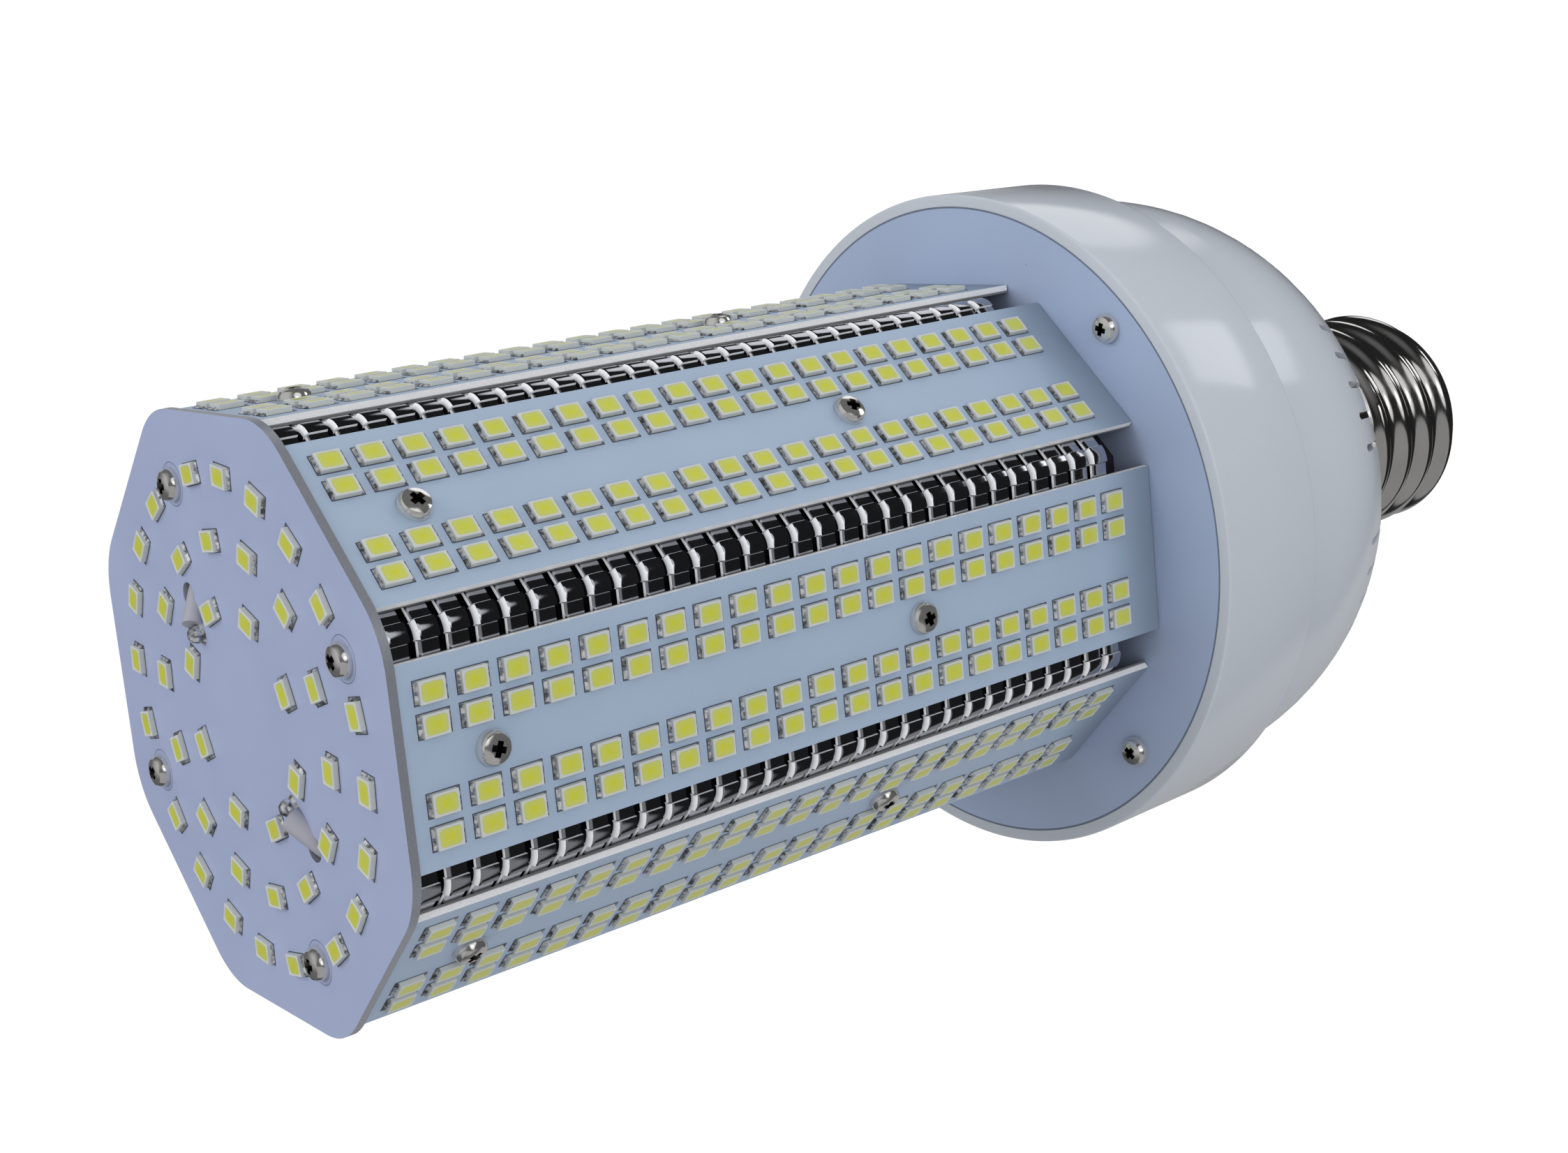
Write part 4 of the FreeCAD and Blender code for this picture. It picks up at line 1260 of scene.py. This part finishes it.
class BULB_OT_cap(Operator):
    """Add the threaded shell, the insulator and the centre contact"""
    bl_idname = "bulb.cap"
    bl_label = "Add the Cap"

    # Rows of faces up the thread, and steps round the shell, the insulator and the contact
    thread_rows = 72
    shell_steps = 120
    cone_steps = 96
    contact_steps = 64

    # Contact from its tip to its rivet: radius, height over the tip, in millimetres
    contact_outline = ((0.0, 0.0), (3.0, 0.1), (4.5, 0.2), (7.0, 0.7), (8.0, 1.2),
                       (8.0, 1.8), (2.0, 1.8))

    def shell(self, cap):
        """Shell with its skirt, and a thread that rises and falls away at its ends."""
        low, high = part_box("cap_shell")
        skirt = high.z - cap.skirt_length
        root = cap.root_radius
        inner = root - cap.wall
        step_low = skirt - cap.skirt_flare
        shape = bmesh.new()
        corners = chain(shape, ((inner, low.z), (root, low.z), (root, step_low),
                                (cap.skirt_radius, skirt), (cap.skirt_radius, high.z),
                                (cap.skirt_radius - cap.wall, high.z),
                                (cap.skirt_radius - cap.wall, skirt), (inner, step_low)),
                        closed=True)
        outline = [edge for edge in corners[1].link_edges if corners[2] in edge.verts]
        bmesh.ops.subdivide_edges(shape, edges=outline, cuts=self.thread_rows)
        revolve(shape, self.shell_steps)
        for corner in shape.verts:
            on_root = abs(corner.co.xy.length - root) < WELD
            if not on_root or not low.z < corner.co.z < step_low:
                continue
            turn = (math.atan2(corner.co.y, corner.co.x) - cap.crest_angle) / FULL_TURN
            phase = (corner.co.z - cap.crest_height) / cap.pitch - turn
            wave = 0.5 + 0.5 * math.cos(FULL_TURN * phase)
            rise = min(1.0, (corner.co.z - low.z) / (cap.thread_low - low.z))
            fall = min(1.0, (step_low - corner.co.z) / (step_low - cap.thread_high))
            height = (cap.crest_radius - root) * wave * rise * fall
            corner.co.x *= 1 + height / root
            corner.co.y *= 1 + height / root
        soften(shape, cap.edge_round, sharper=math.radians(60))
        return shape

    def cone(self, cap):
        """Stepped insulator, with its upper part inside the shell."""
        low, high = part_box("cap_insulator")
        shell_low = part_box("cap_shell")[0].z
        upper = cap.root_radius - cap.wall - cap.clearance
        shape = lathe(((cap.bore_radius, low.z), (cap.nose_radius, low.z),
                       (cap.root_radius - cap.cone_inset, shell_low), (upper, shell_low),
                       (upper, high.z), (cap.bore_radius, high.z)), self.cone_steps)
        soften(shape, cap.nose_round, segments=4)
        return shape

    def contact(self):
        """Domed contact with its rivet."""
        low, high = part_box("cap_contact")
        outline = [(radius * MM, low.z + height * MM)
                   for radius, height in self.contact_outline]
        rivet = outline[-1][0]
        return lathe(outline + [(rivet, high.z), (0, high.z)], self.contact_steps)

    def execute(self, context):
        cap = context.scene.bulb_cap
        metal = brushed_metal("cap_plating", cap.metal_colour, 0.12, 2 * MM, squeeze=8.0)
        glass = coloured("insulator_glass", cap.glass_colour, 0.18, 2 * MM)
        add_piece("thread_shell", self.shell(cap), (metal,), "cap", "cap_shell")
        add_piece("cap_cone", self.cone(cap), (glass,), "insulator", "cap_insulator")
        add_piece("centre_contact", self.contact(), (metal,), "contact", "cap_contact")
        return {"FINISHED"}


class BULB_OT_leads(Operator):
    """Add the two leads and their solder joints on the end plate"""
    bl_idname = "bulb.leads"
    bl_label = "Add the Leads"

    # Each lead's node, and its hole and joint: angle in degrees, radius in millimetres
    spots = (("lead_wire_1", (84.4, 19.1), (89.7, 14.0)),
             ("lead_wire_2", (-88.0, 20.5), (-86.3, 14.2)))

    def tube(self, leads, foot, hole, end):
        """Insulated lead that rises from its foot, leans over below its hole and
        comes out on the slant."""
        onward = (end - hole).normalized()
        level = Vector((onward.x, onward.y, 0)).normalized()
        lean = math.acos(onward.z)
        bend_start = (hole - level * leads.bend * (1 - math.cos(lean))
                      - AXIS_Z * leads.bend * math.sin(lean))
        start = Vector((bend_start.x, bend_start.y, foot))
        shape = bmesh.new()
        bmesh.ops.create_circle(shape, cap_ends=True, radius=leads.radius, segments=24,
                                matrix=Matrix.Translation(start))
        face = self.extruded(shape, shape.faces[:], bend_start - start)
        made = bmesh.ops.spin(shape, geom=face, cent=bend_start + level * leads.bend,
                              axis=AXIS_Z.cross(level), dvec=ORIGIN, angle=lean, steps=6,
                              use_duplicate=False)
        self.extruded(shape, of_kind(bmesh.types.BMFace, made["geom_last"]), end - hole)
        return shape

    def extruded(self, shape, faces, move):
        """Draws faces out along a move, and gives back the faces at its end."""
        made = bmesh.ops.extrude_face_region(shape, geom=faces)["geom"]
        bmesh.ops.delete(shape, geom=faces, context="FACES_ONLY")
        bmesh.ops.translate(shape, vec=move, verts=of_kind(bmesh.types.BMVert, made))
        return of_kind(bmesh.types.BMFace, made)

    def blob(self, leads):
        """Solder joint, longer along its lead."""
        radius = leads.joint_radius
        height = leads.joint_height
        shape = lathe(((0, height), (0.5 * radius, 0.93 * height),
                       (0.85 * radius, 0.7 * height), (radius, 0.42 * height),
                       (0.97 * radius, 0.2 * height), (1.35 * radius, 0.0), (0, 0.0)), 24)
        bmesh.ops.scale(shape, verts=shape.verts, vec=(leads.joint_stretch, 1.0, 1.0))
        return shape

    def execute(self, context):
        leads = context.scene.bulb_leads
        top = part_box("end_plate")[1].z
        sleeve = coloured("lead_sleeve", leads.sleeve_colour, 0.4, 1.2 * MM, spread=0.1)
        tin = dull_metal("joint_tin", leads.tin_colour, 0.2)
        joints = []
        for number, (node, hole, joint) in enumerate(self.spots, start=1):
            hole_spot, joint_spot = [turned(math.radians(degrees)) @ (AXIS_X * radius * MM)
                                     for degrees, radius in (hole, joint)]
            inward = (joint_spot - hole_spot).normalized()
            run = (joint_spot - hole_spot).length - leads.cut_gap
            hole_spot += AXIS_Z * (top - leads.radius)
            end = hole_spot + inward * run + AXIS_Z * run * math.tan(leads.slant)
            shape = self.tube(leads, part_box(node)[0].z, hole_spot, end)
            add_piece("supply_lead_%d" % number, shape, (sleeve,), "wire", node)
            turn = turned(math.atan2(inward.y, inward.x))
            joints.append(Matrix.Translation(joint_spot + AXIS_Z * top) @ turn)
        add_piece("lead_joints", scatter(self.blob(leads), joints), (tin,), "solder",
                  "solder_joints")
        return {"FINISHED"}


class BULB_OT_inside(Operator):
    """Finish the driver's parts inside the housing"""
    bl_idname = "bulb.inside"
    bl_label = "Finish the Driver"

    def execute(self, context):
        inside = context.scene.bulb_inside
        steel = brushed_metal("driver_steel", inside.steel_colour, 0.3, 1 * MM)
        board = coloured("circuit_board_green", inside.board_colour, 0.4, 1 * MM)
        ferrite = coloured("ferrite", inside.core_colour, 0.6, 0.6 * MM)
        # The winding's second colour is painted shade between its turns.
        wire = banded("choke_winding", inside.wire_colour, inside.wire_gap_shade_colour, 0.7 * MM)
        tape = banded("winding_tape", inside.tape_colour, inside.lap_colour, 2.4 * MM)
        cans = coloured("can_sleeve", inside.can_colour, 0.3, 3 * MM)
        film = coloured("film_epoxy", inside.film_colour, 0.3, 2 * MM)
        lead = coloured("cap_lead_sleeve", inside.lead_colour, 0.4, 1 * MM)
        for node, finish in (("fin_core_screws", steel), ("driver_board_screws", steel),
                             ("driver_board", board), ("driver_transformer", ferrite),
                             ("driver_choke", wire), ("driver_winding", tape),
                             ("driver_capacitors", cans), ("driver_film_capacitor", film),
                             ("cap_lead_centre", lead), ("cap_lead_side", lead)):
            dress(node, finish)
        return {"FINISHED"}


class BULB_PT_panel(Panel):
    """Lists the steps that build the bulb's visual model."""
    bl_idname = "BULB_PT_panel"
    bl_label = "Corn LED Bulb"
    bl_space_type = "VIEW_3D"
    bl_region_type = "UI"
    bl_category = "Corn Bulb"

    def draw(self, context):
        for operator in operators:
            self.layout.operator(operator.bl_idname)


groups = {
    "bulb_stage": BulbStage,
    "bulb_boards": BulbBoards,
    "bulb_leds": BulbLeds,
    "bulb_screws": BulbScrews,
    "bulb_fins": BulbFins,
    "bulb_housing": BulbHousing,
    "bulb_cap": BulbCap,
    "bulb_leads": BulbLeads,
    "bulb_inside": BulbInside,
}
operators = (BULB_OT_stage, BULB_OT_boards, BULB_OT_leds, BULB_OT_screws, BULB_OT_fins,
             BULB_OT_housing, BULB_OT_cap, BULB_OT_leads, BULB_OT_inside)


def register():
    for group in groups.values():
        bpy.utils.register_class(group)
    for name, group in groups.items():
        setattr(bpy.types.Scene, name, PointerProperty(type=group))
    for item in operators + (BULB_PT_panel,):
        bpy.utils.register_class(item)


def unregister():
    for item in operators + (BULB_PT_panel,):
        bpy.utils.unregister_class(item)
    for name in groups:
        delattr(bpy.types.Scene, name)
    for group in groups.values():
        bpy.utils.unregister_class(group)


def main():
    register()
    bpy.ops.bulb.stage()
    bpy.ops.bulb.boards()
    bpy.ops.bulb.leds()
    bpy.ops.bulb.screws()
    bpy.ops.bulb.fins()
    bpy.ops.bulb.housing()
    bpy.ops.bulb.cap()
    bpy.ops.bulb.leads()
    bpy.ops.bulb.inside()


if __name__ == "__main__":
    main()
